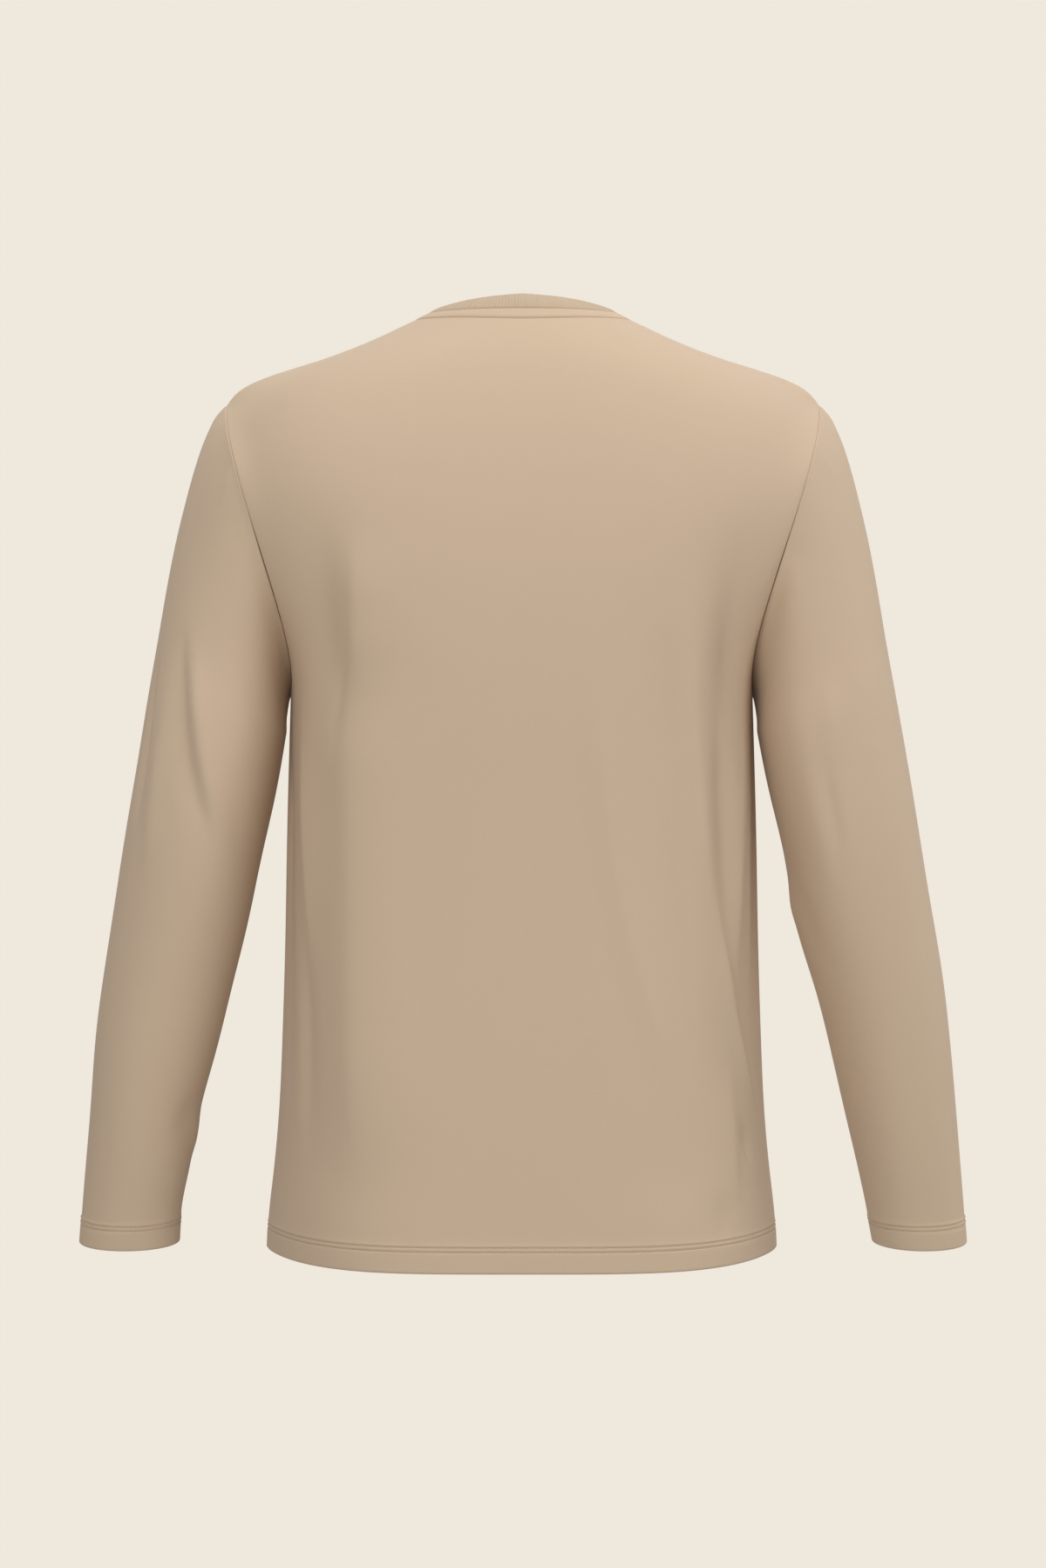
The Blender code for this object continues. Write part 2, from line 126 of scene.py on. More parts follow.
SECTIONS_FRONT = (
    Section(-0.703, 0.1220, 3.4, 1.40),
    Section(-0.600, 0.1160, 3.4, 1.45),
    Section(-0.480, 0.1130, 3.4, 1.50),
    Section(-0.380, 0.1150, 3.3, 1.55),
    Section(-0.281, 0.1190, 3.2, 1.60),
    Section(-0.200, 0.1180, 3.4, 1.80),
    Section(-0.150, 0.1110, 3.6, 1.90),
    Section(-0.100, 0.0930, 3.4, 1.90),
    Section(-0.050, 0.0590, 3.0, 1.80),
    Section(-0.020, 0.0300, 2.5, 1.80),
    Section(0.001, 0.0050, 2.2, 2.00),
)

# How far the neck seam drops below the shoulders, and how flat the bottom of its scoop is. The
# scoop is squarer at the seam than in the rows below it.
NeckHalf = namedtuple("NeckHalf", "drop flat")
NECK_BACK = NeckHalf(0.0023, 2.0)
NECK_FRONT = NeckHalf(0.0870, 2.3)
NECK_SQUARENESS = 0.5

# Distances, in from an edge, of the close lines that give it its finish. The needle lines below
# are among those of the hem and of the neck.
FROM_SEAM = (0.00003, 0.0003, 0.0006, 0.0010, 0.0015, 0.0025, 0.0045)
FROM_HEM = (
    0.0, 0.0004, 0.0010, 0.0020, 0.0045, 0.0080, 0.0115, 0.0137, 0.0146, 0.0151, 0.0155, 0.0159, 0.0164,
    0.0171, 0.0178, 0.0183, 0.0187, 0.0191, 0.0196, 0.0202, 0.0210, 0.0225,
)
FROM_NECK = (
    0.0, 0.0003, 0.0006, 0.0010, 0.0016, 0.0030, 0.0055, 0.0080, 0.0089, 0.0094, 0.0097, 0.0100, 0.0103,
    0.0106, 0.0111, 0.0120, 0.0150,
)

# How far the cloth rolls under where it is sewn, level by level at the sides and armholes
SeamRoll = namedtuple("SeamRoll", "height depth")
SEAM_ROLL = (
    SeamRoll(-0.281, 0.0002),
    SeamRoll(-0.200, 0.0004),
    SeamRoll(-0.150, 0.0010),
    SeamRoll(-0.100, 0.0012),
    SeamRoll(-0.067, 0.0006),
)
SEAM_ROLL_WIDTH = 0.0011
NECK_ROLL = 0.0014

# The hem: its doubled cloth, its rounded edge and the two needle lines that sink into it
HEM_SWELL = 0.0005
HEM_EDGE_ROUND = 0.0010
NEEDLE_LINES_ABOVE_HEM = (0.0155, 0.0187)
NEEDLE_SINK = 0.0007
NEEDLE_WIDTH = 0.0006

# The neck: one needle line below its seam, and the seam allowance that fills the cloth above it
NECK_LINE = 0.0100
NECK_SINK = 0.0013
NECK_SWELL = 0.0004
NECK_SWELL_EDGE = 0.0030


def spline(knots, values, at):
    """Places on a natural cubic spline through one row of values at each knot."""
    steps = np.diff(knots)
    slopes = np.diff(values, axis=0) / steps[:, None]
    system = np.eye(len(knots))
    load = np.zeros(values.shape)
    for i in range(1, len(knots) - 1):
        system[i, i - 1:i + 2] = steps[i - 1], 2 * (steps[i - 1] + steps[i]), steps[i]
        load[i] = 6 * (slopes[i] - slopes[i - 1])
    bend = np.linalg.solve(system, load)
    k = np.clip(np.searchsorted(knots, at) - 1, 0, len(steps) - 1)
    below = (at - knots[k])[:, None]
    above = (knots[k + 1] - at)[:, None]
    step = steps[k][:, None]
    curve = (bend[k] * above ** 3 + bend[k + 1] * below ** 3) / (6 * step)
    low = (values[k] / step - bend[k] * step / 6) * above
    high = (values[k + 1] / step - bend[k + 1] * step / 6) * below
    return curve + low + high


def read(table, field, at):
    """A column of a table at any value of the table's first column."""
    rows = sorted(table)
    knots = np.array([row[0] for row in rows], dtype=float)
    values = np.array([[getattr(row, field)] for row in rows], dtype=float)
    at = np.asarray(at, dtype=float)
    return spline(knots, values, at.ravel())[:, 0].reshape(at.shape)


def ease(value):
    """0 to 1 with a level start and end."""
    clipped = np.clip(value, 0.0, 1.0)
    return clipped * clipped * (3 - 2 * clipped)


def unit(vectors):
    """The same directions, each of length 1."""
    return vectors / np.linalg.norm(vectors, axis=-1, keepdims=True)


def travelled(points):
    """How far along a line each of its points is."""
    return np.concatenate([[0.0], np.cumsum(np.linalg.norm(np.diff(points, axis=0), axis=1))])


def placed(points, distances):
    """The places on a line of points at these distances from its start."""
    along = travelled(points)
    return np.stack([np.interp(distances, along, points[:, k]) for k in range(3)], axis=-1)


def evenly(points, count):
    """The same line of points, cut into count steps of equal length."""
    return placed(points, np.linspace(0.0, travelled(points)[-1], count + 1))


def bezier(start, start_handle, end_handle, end, steps):
    """A cubic Bezier curve. The handles are given from their own ends."""
    t = np.linspace(0.0, 1.0, steps + 1)[:, None]
    first = start + start_handle
    second = end + end_handle
    return ((1 - t) ** 3 * start + 3 * (1 - t) ** 2 * t * first
            + 3 * (1 - t) * t ** 2 * second + t ** 3 * end)


def section_depth(side, x, half_width, height):
    """How deep a level section is at x. Side is 1 at the back and -1 in front."""
    table = SECTIONS_BACK if side > 0 else SECTIONS_FRONT
    flat = read(table, "flat", height)
    edge = read(table, "edge", height)
    share = np.clip(np.abs(x) / half_width, 0.0, 1.0)
    return read(table, "depth", height) * (1 - share ** flat) ** (1 / edge)


def side_line():
    """The left side seam, hem to armhole."""
    height = np.linspace(GIRTH[0].height, GIRTH[-1].height, CURVE_STEPS + 1)
    out = read(GIRTH, "half_width", height)
    return np.stack([out, np.zeros_like(height), height], axis=-1)


def armhole_line(side):
    """The left half of an armhole seam, up to the shoulder tip."""
    half = ARMHOLE_BACK if side > 0 else ARMHOLE_FRONT
    low = np.array([GIRTH[-1].half_width, 0.0, GIRTH[-1].height])
    tip = np.array([CREST[-1].out, 0.0, CREST[-1].height])
    low_handle = np.array([half.low_out, side * half.low_deep, half.low_up])
    top_handle = np.array([half.top_out, side * half.top_deep, half.top_up])
    return bezier(low, low_handle, top_handle, tip, CURVE_STEPS)


def shoulder_line():
    """The left shoulder seam, tip to neck."""
    height = np.linspace(CREST[-1].height, CREST[0].height, CURVE_STEPS + 1)
    out = read(CREST, "out", height)
    return np.stack([out, np.zeros_like(height), height], axis=-1)


def level_widths(side):
    """Heights, and the half-width of the level section that meets the panel's edge at each."""
    table = SECTIONS_BACK if side > 0 else SECTIONS_FRONT
    edge_line = np.concatenate([side_line()[:-1], armhole_line(side)[:-1], shoulder_line()])
    out, deep, height = edge_line.T
    flat = read(table, "flat", height)
    edge = read(table, "edge", height)
    share = np.abs(deep) / read(table, "depth", height)
    return height, out / (1 - share ** edge) ** (1 / flat)


def row_ends(side, cuts):
    """Places up a panel's left edge, hem to neck, with cuts steps from each row to the next."""
    side_seam = side_line()
    height = side_seam[:, 2]
    fold_top = height[0] + HEM_TURNING
    fold = np.array([[np.interp(fold_top, height, side_seam[:, k]) for k in range(3)]])
    above_hem = side_seam[height > fold_top + HEM_STEP]
    return np.concatenate([
        evenly(np.concatenate([side_seam[:1], fold]), cuts)[:-1],
        evenly(np.concatenate([fold, above_hem[:1]]), cuts)[:-1],
        evenly(above_hem, BODY_ROWS * cuts),
        evenly(armhole_line(side), ARMHOLE_ROWS * cuts)[1:],
        evenly(shoulder_line(), SHOULDER_ROWS * cuts)[1:],
    ])


def sway_at(height):
    """How far the body hangs to the left at a height, from nothing at the shoulder tips."""
    below_tip = (CREST[-1].height - height) / (CREST[-1].height - GIRTH[-1].height)
    return SWAY * ease(below_tip)


def relaxed(points):
    """The panel drawn smooth between its seams, its hem and its neck, which stay where they are."""
    for _ in range(RELAX_PASSES):
        moving = points[HEM_ROWS + 1:-1, 1:-1]
        along = (points[HEM_ROWS:-2, 1:-1] + points[HEM_ROWS + 2:, 1:-1]) / 2
        across = (points[HEM_ROWS + 1:-1, :-2] + points[HEM_ROWS + 1:-1, 2:]) / 2
        points[HEM_ROWS + 1:-1, 1:-1] = (moving + (along + across) / 2) / 2
    return points


def coarse_panel(side):
    """Rows from the hem up to the neck, columns from the wearer's right to left."""
    neck = NECK_BACK if side > 0 else NECK_FRONT
    level_heights, level_half_widths = level_widths(side)
    ends = row_ends(side, 1)
    yoke = ARMHOLE_ROWS + SHOULDER_ROWS
    sagging = np.clip(np.arange(len(ends)) - (len(ends) - 1 - yoke), 0, None) / yoke
    across = np.sin(np.linspace(-math.pi / 2, math.pi / 2, CURVE_STEPS + 1))
    rows = []
    for (out, _, level), share in zip(ends, sagging):
        scoop = (1 - np.abs(across) ** neck.flat) ** (1 - NECK_SQUARENESS * share ** 2)
        height = level - share * neck.drop * scoop
        half_width = np.interp(height, level_heights, level_half_widths)
        deep = section_depth(side, out * across, half_width, height)
        row = np.stack([out * across + sway_at(height), side * deep, height], axis=-1)
        rows.append(evenly(row, PANEL_COLUMNS))
    return relaxed(np.array(rows))


def panel_column(coarse, knots, ends, column, at):
    """A column of a panel at places up it. The first and the last lie on the panel's own edge."""
    out_side = {0: -1.0, PANEL_COLUMNS: 1.0}.get(column)
    if out_side is None:
        return spline(knots, coarse[:, column], at)
    cut = np.interp(at, knots, np.arange(len(knots))) * EDGE_CUTS
    out, deep, height = (np.interp(cut, np.arange(len(ends)), ends[:, k]) for k in range(3))
    return np.stack([out_side * out + sway_at(height), deep, height], axis=-1)


def fine_panel(side):
    """The coarse panel as a smooth surface, with close lines along its hem, its seams and its neck."""
    coarse = coarse_panel(side)
    steps = np.linalg.norm(np.diff(coarse[:, 1:-1], axis=0), axis=-1).mean(axis=1)
    knots = np.concatenate([[0.0], np.cumsum(steps)])
    underarm = knots[HEM_ROWS + BODY_ROWS]
    tip = knots[HEM_ROWS + BODY_ROWS + ARMHOLE_ROWS]
    below_tip = np.concatenate([
        np.array(FROM_HEM),
        np.linspace(FROM_HEM[-1], underarm, FINE_BODY + 1)[1:],
        np.linspace(underarm, tip, FINE_ARMHOLE + 1)[1:],
    ])
    ends = row_ends(side, EDGE_CUTS)
    dense = np.linspace(tip, knots[-1], CURVE_STEPS + 1)
    lines = []
    for column in range(PANEL_COLUMNS + 1):
        from_neck = travelled(panel_column(coarse, knots, ends, column, dense)[::-1])[::-1]
        by_neck = np.interp(-np.array(FROM_NECK[::-1]), -from_neck, dense)
        yoke = np.linspace(tip, by_neck[0], FINE_SHOULDER + 1)[1:]
        at = np.concatenate([below_tip, yoke, by_neck[1:]])
        lines.append(panel_column(coarse, knots, ends, column, at))
    lines = np.array(lines)
    places = np.arange(PANEL_COLUMNS + 1, dtype=float)
    rows = []
    for row in np.swapaxes(lines, 0, 1):
        step = travelled(row)[-1] / PANEL_COLUMNS
        near = np.array(FROM_SEAM) / step
        middle = np.linspace(near[-1], PANEL_COLUMNS - near[-1], FINE_COLUMNS + 1)[1:-1]
        rows.append(spline(places, row, np.concatenate([near, middle, PANEL_COLUMNS - near[::-1]])))
    return np.array(rows)


# The creases of the body, ridges with a depth above 0 and troughs below. Each runs from one place
# across at its top to another at its low end, and bow moves its middle to the left. Left and right
# are how far its two sides reach, round is how blunt its line is, and rise and fall are the shares
# of its length over which it grows and dies away.
Crease = namedtuple("Crease", "start top end low bow left right round depth rise fall")
BACK_CREASES = (
    # Left: the hollow under the shoulder blade with its firm edge, a long broad ridge, and the fold
    # down the side between two troughs
    Crease(0.1500, -0.140, 0.1380, -0.330, 0.0000, 0.030, 0.028, 0.012, -0.0055, 0.50, 0.45),
    Crease(0.1215, -0.165, 0.1230, -0.295, 0.0000, 0.028, 0.060, 0.002, 0.0045, 0.40, 0.40),
    Crease(0.1310, -0.250, 0.1370, -0.340, 0.0000, 0.010, 0.010, 0.003, -0.0015, 0.40, 0.50),
    Crease(0.1240, -0.260, 0.1200, -0.670, 0.0000, 0.034, 0.070, 0.010, 0.0062, 0.20, 0.30),
    Crease(0.1640, -0.270, 0.1545, -0.520, 0.0000, 0.026, 0.042, 0.001, 0.0046, 0.45, 0.55),
    Crease(0.1765, -0.292, 0.1740, -0.640, 0.0000, 0.022, 0.022, 0.006, -0.0035, 0.22, 0.45),
    Crease(0.1600, -0.440, 0.1560, -0.650, 0.0000, 0.014, 0.018, 0.006, -0.0030, 0.45, 0.50),
    # Right: a softer hollow, a long ridge that swings out to the side and its troughs, the fold
    # down the side, and short ones above the hem
    Crease(-0.1580, -0.150, -0.1480, -0.330, 0.0000, 0.026, 0.028, 0.012, -0.0065, 0.50, 0.40),
    Crease(-0.1440, -0.280, -0.1500, -0.500, 0.0000, 0.018, 0.018, 0.006, -0.0040, 0.35, 0.50),
    Crease(-0.1210, -0.180, -0.1440, -0.480, 0.0080, 0.040, 0.026, 0.004, 0.0044, 0.35, 0.35),
    Crease(-0.1360, -0.400, -0.1750, -0.610, 0.0040, 0.022, 0.010, 0.001, 0.0034, 0.50, 0.25),
    Crease(-0.1000, -0.220, -0.1240, -0.520, 0.0000, 0.022, 0.018, 0.006, -0.0032, 0.35, 0.45),
    Crease(-0.1640, -0.270, -0.1550, -0.530, 0.0000, 0.040, 0.026, 0.001, 0.0038, 0.45, 0.40),
    Crease(-0.1765, -0.292, -0.1740, -0.560, 0.0000, 0.022, 0.022, 0.006, -0.0035, 0.22, 0.40),
    Crease(-0.1500, -0.550, -0.1560, -0.680, 0.0000, 0.044, 0.012, 0.004, 0.0026, 0.45, 0.45),
    Crease(-0.1600, -0.598, -0.1690, -0.636, 0.0000, 0.009, 0.010, 0.003, -0.0042, 0.50, 0.50),
    Crease(-0.1440, -0.645, -0.1500, -0.690, 0.0000, 0.022, 0.018, 0.006, -0.0020, 0.50, 0.50),
    # Faint waves down the middle
    Crease(-0.0540, -0.220, -0.1280, -0.620, 0.0240, 0.018, 0.026, 0.004, 0.0020, 0.35, 0.30),
    Crease(0.0700, -0.400, 0.0740, -0.600, 0.0000, 0.020, 0.020, 0.006, -0.0010, 0.40, 0.50),
)

# The hidden front has creases of the same kinds
FRONT_CREASES = (
    Crease(0.1460, -0.140, 0.1300, -0.420, 0.0000, 0.030, 0.030, 0.012, -0.0055, 0.50, 0.45),
    Crease(0.1150, -0.190, 0.1050, -0.520, 0.0000, 0.026, 0.060, 0.004, 0.0035, 0.40, 0.45),
    Crease(0.1660, -0.290, 0.1560, -0.560, 0.0000, 0.010, 0.016, 0.001, 0.0030, 0.22, 0.50),
    Crease(0.1740, -0.292, 0.1690, -0.590, 0.0000, 0.012, 0.012, 0.004, -0.0045, 0.22, 0.50),
    Crease(-0.1480, -0.150, -0.1340, -0.450, 0.0000, 0.028, 0.030, 0.012, -0.0060, 0.50, 0.40),
    Crease(-0.1180, -0.200, -0.1000, -0.600, -0.0060, 0.060, 0.028, 0.003, 0.0038, 0.35, 0.40),
    Crease(-0.1670, -0.290, -0.1600, -0.600, 0.0000, 0.016, 0.010, 0.001, 0.0032, 0.22, 0.45),
    Crease(-0.1745, -0.292, -0.1700, -0.620, 0.0000, 0.012, 0.013, 0.004, -0.0050, 0.22, 0.45),
    Crease(0.0400, -0.260, 0.0750, -0.600, 0.0080, 0.020, 0.024, 0.006, 0.0018, 0.40, 0.40),
    Crease(-0.0300, -0.330, -0.0480, -0.640, 0.0000, 0.022, 0.018, 0.006, -0.0014, 0.40, 0.40),
)

# The cloth swells beside the armholes, so that their seams lie in a shallow valley. It swells most
# at the crest, this far from the seam.
SeamSwell = namedtuple("SeamSwell", "height left right")
SEAM_SWELL = (
    SeamSwell(-0.300, 0.0, 0.0),
    SeamSwell(-0.260, 0.0006, 0.0010),
    SeamSwell(-0.210, 0.0016, 0.0026),
    SeamSwell(-0.160, 0.0010, 0.0022),
    SeamSwell(-0.110, 0.0003, 0.0006),
    SeamSwell(-0.067, 0.0, 0.0),
)
SEAM_SWELL_CREST = 0.0130

# Creases die away over this distance from a seam
CREASE_FADE = 0.012


def crease_depths(creases, places, along, heights):
    """How far each point moves out along its normal. Places are what the creases' starts and ends
    count in, along is in metres, and both grow together in a row."""
    moved = np.zeros(heights.shape)
    for crease in creases:
        down = np.clip((crease.top - heights) / (crease.top - crease.low), 0.0, 1.0)
        line = crease.start + (crease.end - crease.start) * down + crease.bow * np.sin(math.pi * down)
        middle = np.array([np.interp(*row) for row in zip(line, places, along)])
        aside = along - middle
        reach = np.where(aside > 0, crease.left, crease.right)
        share = (np.hypot(aside, crease.round) - crease.round) / reach
        swell = ease(down / crease.rise) * ease((1 - down) / crease.fall)
        moved += crease.depth * swell * np.clip(1 - share, 0.0, 1.0) ** 2
    return moved


def seam_swell(from_right, from_left, heights):
    """How far the cloth swells beside the armholes."""
    at = np.clip(heights, SEAM_SWELL[0].height, SEAM_SWELL[-1].height)
    swell = 0.0
    for distance, hand in ((from_left, "left"), (from_right, "right")):
        share = distance / SEAM_SWELL_CREST
        swell = swell + read(SEAM_SWELL, hand, at) * share * np.exp(1 - share)
    return swell


def dip(distance, centre, width):
    """1 in the middle of a narrow line and 0 away from it."""
    return np.exp(-((distance - centre) / width) ** 2)


def outward(points, facing, round_loop):
    """A unit normal at each point. Facing is 1 where columns crossed with rows point outwards."""
    along = np.gradient(points, axis=0)
    if round_loop:
        across = np.roll(points, -1, axis=1) - np.roll(points, 1, axis=1)
    else:
        across = np.gradient(points, axis=1)
    return facing * unit(np.cross(across, along))


def seam_roll(distance, depth):
    """How far a sewn edge turns under, this far from its seam."""
    return depth * np.clip(1 - distance / SEAM_ROLL_WIDTH, 0.0, 1.0) ** 2


def seam_depth(heights):
    """How deep the side and armhole seams lie, level by level."""
    return read(SEAM_ROLL, "depth", np.clip(heights, SEAM_ROLL[0].height, SEAM_ROLL[-1].height))


def hem_relief(distance):
    """The turned hem: its rounded edge, its doubled cloth, and the two sunk needle lines."""
    swell = HEM_SWELL * (1 - ease((distance - HEM_TURNING) / HEM_STEP))
    edge = HEM_EDGE_ROUND * np.clip(1 - distance / HEM_EDGE_ROUND, 0.0, 1.0) ** 2
    lines = sum(dip(distance, line, NEEDLE_WIDTH) for line in NEEDLE_LINES_ABOVE_HEM)
    return swell - edge - NEEDLE_SINK * lines


def hem_wall(distance):
    """The cloth's thickness, doubled in the hem."""
    return JERSEY_THICKNESS * (2 - ease((distance - HEM_TURNING) / HEM_STEP))


def distances_along(points, axis):
    """How far each point is along its own line of the net."""
    steps = np.linalg.norm(np.diff(points, axis=axis), axis=-1)
    start = np.zeros_like(np.take(steps, [0], axis=axis))
    return np.concatenate([start, np.cumsum(steps, axis=axis)], axis=axis)


# An edge that turns more than this, in degrees, is shaded sharp
SHARP_TURN = 60


def add_wall(name, outer, inner, cloth, round_loop, material):
    """One closed wall between two nets of points. Cloth is each point's place on the flat cloth."""
    rows, columns = outer.shape[:2]
    net = np.arange(rows * columns).reshape(rows, columns)
    flat = np.arange(rows * cloth.shape[1]).reshape(rows, -1)
    if round_loop:
        net = np.concatenate([net, net[:, :1]], axis=1)

    def quads(table):
        around = [table[:-1, :-1], table[:-1, 1:], table[1:, 1:], table[1:, :-1]]
        return np.stack(around, -1).reshape(-1, 4)

    def rim(table, lifted):
        lines = [table[0], table[-1]] + ([] if round_loop else [table[:, 0], table[:, -1]])
        return np.concatenate([
            np.stack([line[:-1], line[1:], line[1:] + lifted, line[:-1] + lifted], -1) for line in lines
        ])

    faces = np.concatenate([quads(net), quads(net) + rows * columns, rim(net, rows * columns)])
    corners = np.concatenate([quads(flat), quads(flat), rim(flat, 0)])
    mesh = bpy.data.meshes.new(name)
    points = np.concatenate([outer.reshape(-1, 3), inner.reshape(-1, 3)])
    mesh.from_pydata(points.tolist(), [], faces.tolist())
    layer = mesh.uv_layers.new(name="cloth")
    layer.data.foreach_set("uv", cloth.reshape(-1, 2)[corners.ravel()].astype(np.float32).ravel())
    solid = bmesh.new()
    solid.from_mesh(mesh)
    bmesh.ops.recalc_face_normals(solid, faces=solid.faces)
    solid.to_mesh(mesh)
    solid.free()
    mesh.shade_smooth()
    mesh.set_sharp_from_angle(angle=math.radians(SHARP_TURN))
    mesh.materials.append(material)
    piece = bpy.data.objects.new(name, mesh)
    bpy.context.scene.collection.objects.link(piece)
    return piece


def node(tree, kind, links, **settings):
    """A shader node with its settings made and its inputs linked or set."""
    made = tree.nodes.new(kind)
    for key, value in settings.items():
        setattr(made, key, value)
    for socket, source in links.items():
        if isinstance(source, bpy.types.NodeSocket):
            tree.links.new(source, made.inputs[socket])
        else:
            made.inputs[socket].default_value = source
    return made


def calc(tree, operation, *values):
    """The output of a Math node on up to three values or sockets."""
    return node(tree, "ShaderNodeMath", dict(enumerate(values)), operation=operation).outputs[0]


# The knit: the width of a wale and the height of a course, how deep the stitches are and how
# strongly that shows, how far their legs slant, in courses for each wale, how much the yarn dips
# between loops, and how fine its grain is across and along
JERSEY_WALE = 0.0008
COURSE = 0.0006
KNIT_DEPTH = 0.00006
KNIT_STRENGTH = 0.5
LEG_SLANT = 1.4
LOOP_DIP = 0.25
YARN_GRAIN = (900.0, 500.0, 1.0)

# How far the stitches' height and the yarn's grain take the colour from dark to light, and how far it
# is at least.
# The stitches' share is painted shade: the colour is darker where the stitches are low, in the hollows
# between their loops.
PAINTED_STITCH_SHADE = 0.35
YARN_SHADE = 0.30
LEAST_SHADE = 0.20


def knit_group():
    """Plain knit: columns of V-shaped stitches. Puts out their height and the yarn's grain."""
    group = bpy.data.node_groups.new("knit", "ShaderNodeTree")
    face = group.interface
    face.new_socket("Cloth", in_out="INPUT", socket_type="NodeSocketVector")
    face.new_socket("Wale", in_out="INPUT", socket_type="NodeSocketFloat").default_value = JERSEY_WALE
    face.new_socket("Course", in_out="INPUT", socket_type="NodeSocketFloat").default_value = COURSE
    face.new_socket("Height", in_out="OUTPUT", socket_type="NodeSocketFloat")
    face.new_socket("Shade", in_out="OUTPUT", socket_type="NodeSocketFloat")
    given = group.nodes.new("NodeGroupInput").outputs
    result = group.nodes.new("NodeGroupOutput")
    place = node(group, "ShaderNodeSeparateXYZ", {"Vector": given["Cloth"]}).outputs
    across = calc(group, "DIVIDE", place["X"], given["Wale"])
    along = calc(group, "DIVIDE", place["Y"], given["Course"])
    # Each half of a wale is one slanting leg of the V, highest along its middle
    leg = calc(group, "ABSOLUTE", calc(group, "SINE", calc(group, "MULTIPLY", across, 2 * math.pi)))
    from_middle = calc(group, "ABSOLUTE", calc(group, "SUBTRACT", calc(group, "FRACT", across), 0.5))
    slanted = calc(group, "SUBTRACT", along, calc(group, "MULTIPLY", from_middle, LEG_SLANT))
    beat = calc(group, "COSINE", calc(group, "MULTIPLY", slanted, 2 * math.pi))
    loops = calc(group, "MULTIPLY_ADD", beat, LOOP_DIP, 1 - LOOP_DIP)
    group.links.new(calc(group, "MULTIPLY", leg, loops), result.inputs["Height"])
    grain = node(group, "ShaderNodeMapping", {"Vector": given["Cloth"], "Scale": YARN_GRAIN}).outputs[0]
    yarn = node(group, "ShaderNodeTexNoise", {"Vector": grain, "Scale": 1.0, "Detail": 2.0})
    group.links.new(yarn.outputs["Fac"], result.inputs["Shade"])
    return group


KNIT = knit_group()


def mixed_colour(tree, share, dark, light):
    """A colour that goes from dark to light with share."""
    mix = node(tree, "ShaderNodeMix", {"Factor": share}, data_type="RGBA")
    mix.inputs["A"].default_value = (*dark, 1.0)
    mix.inputs["B"].default_value = (*light, 1.0)
    return mix.outputs["Result"]


def cloth_material(name, dark, light, wale):
    """Cotton knit: soft and matt, with fine stitches, shade painted into the hollows between them, a
    slightly uneven yarn and a trace of nap.
    """
    material = bpy.data.materials.new(name)
    material.use_nodes = True
    tree = material.node_tree
    cloth = node(tree, "ShaderNodeUVMap", {}, uv_map="cloth").outputs[0]
    stitches = {"Cloth": cloth, "Wale": wale, "Course": COURSE}
    height, yarn = node(tree, "ShaderNodeGroup", stitches, node_tree=KNIT).outputs
    yarn_share = calc(tree, "MULTIPLY_ADD", yarn, YARN_SHADE, LEAST_SHADE)
    # Painted shade: the colour is darker where the stitches are low, between their loops. The yarn's
    # grain is its own uneven tone.
    share = calc(tree, "MULTIPLY_ADD", height, PAINTED_STITCH_SHADE, yarn_share)
    relief = {"Height": height, "Strength": KNIT_STRENGTH, "Distance": KNIT_DEPTH}
    bump = node(tree, "ShaderNodeBump", relief).outputs[0]
    shader = tree.nodes["Principled BSDF"]
    tree.links.new(mixed_colour(tree, share, dark, light), shader.inputs["Base Color"])
    tree.links.new(bump, shader.inputs["Normal"])
    shader.inputs["Roughness"].default_value = 0.92
    shader.inputs["Specular IOR Level"].default_value = 0.25
    shader.inputs["Sheen Weight"].default_value = 0.08
    shader.inputs["Sheen Roughness"].default_value = 0.5
    return material


JERSEY_DARK = (0.538, 0.410, 0.291)
JERSEY_LIGHT = (0.644, 0.497, 0.358)
jersey = cloth_material("beige_jersey", JERSEY_DARK, JERSEY_LIGHT, JERSEY_WALE)


def finished_panel(side, creases):
    """A panel's neck seam, its outer and inner points, and their places on the flat cloth."""
    base = fine_panel(side)
    columns = base.shape[1]
    normals = outward(base, -side, False)
    from_right = distances_along(base, 1)
    from_left = from_right[:, -1:] - from_right
    from_side = np.minimum(from_right, from_left)
    from_hem = distances_along(base, 0)
    from_neck = from_hem[-1] - from_hem
    fade = ease(from_side / CREASE_FADE) * ease(from_neck / CREASE_FADE)
    moved = crease_depths(creases, base[..., 0], from_right, base[..., 2]) * fade
    moved += seam_swell(from_right, from_left, base[..., 2]) * ease(from_neck / CREASE_FADE)
    moved += hem_relief(from_hem)
    moved -= seam_roll(from_side, seam_depth(base[..., 2])) + seam_roll(from_neck, NECK_ROLL)
    moved += NECK_SWELL * ease((NECK_LINE - from_neck) / NECK_SWELL_EDGE)
    moved -= NECK_SINK * dip(from_neck, NECK_LINE, NEEDLE_WIDTH)
    outer = base + normals * moved[..., None]
    inner = outer - normals * hem_wall(from_hem)[..., None]
    middle = from_right[:, columns // 2:columns // 2 + 1]
    cloth = np.stack([from_right - middle, from_hem], axis=-1)
    return base[-1], outer, inner, cloth


back_neck, back_outer, back_inner, back_cloth = finished_panel(1, BACK_CREASES)
front_neck, front_outer, front_inner, front_cloth = finished_panel(-1, FRONT_CREASES)
back = add_wall("back", back_outer, back_inner, back_cloth, False, jersey)
front = add_wall("front", front_outer, front_inner, front_cloth, False, jersey)
for piece, cad_node, flat, area in (
    (back, "back_panel", (0.54, 0.74), 0.345),
    (front, "front_panel", (0.54, 0.73), 0.320),
):
    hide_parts(cad_node)
    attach(piece, "root")


# ---------------------------------------------------------------------------------------------
# The sleeves, each one piece of jersey sewn into a tube and set into its armhole, with a turned
# hem at the wrist. They hang a little away from the body, the left one wider at the wrist.
# ---------------------------------------------------------------------------------------------
ARMHOLE_GAP = 0.00005

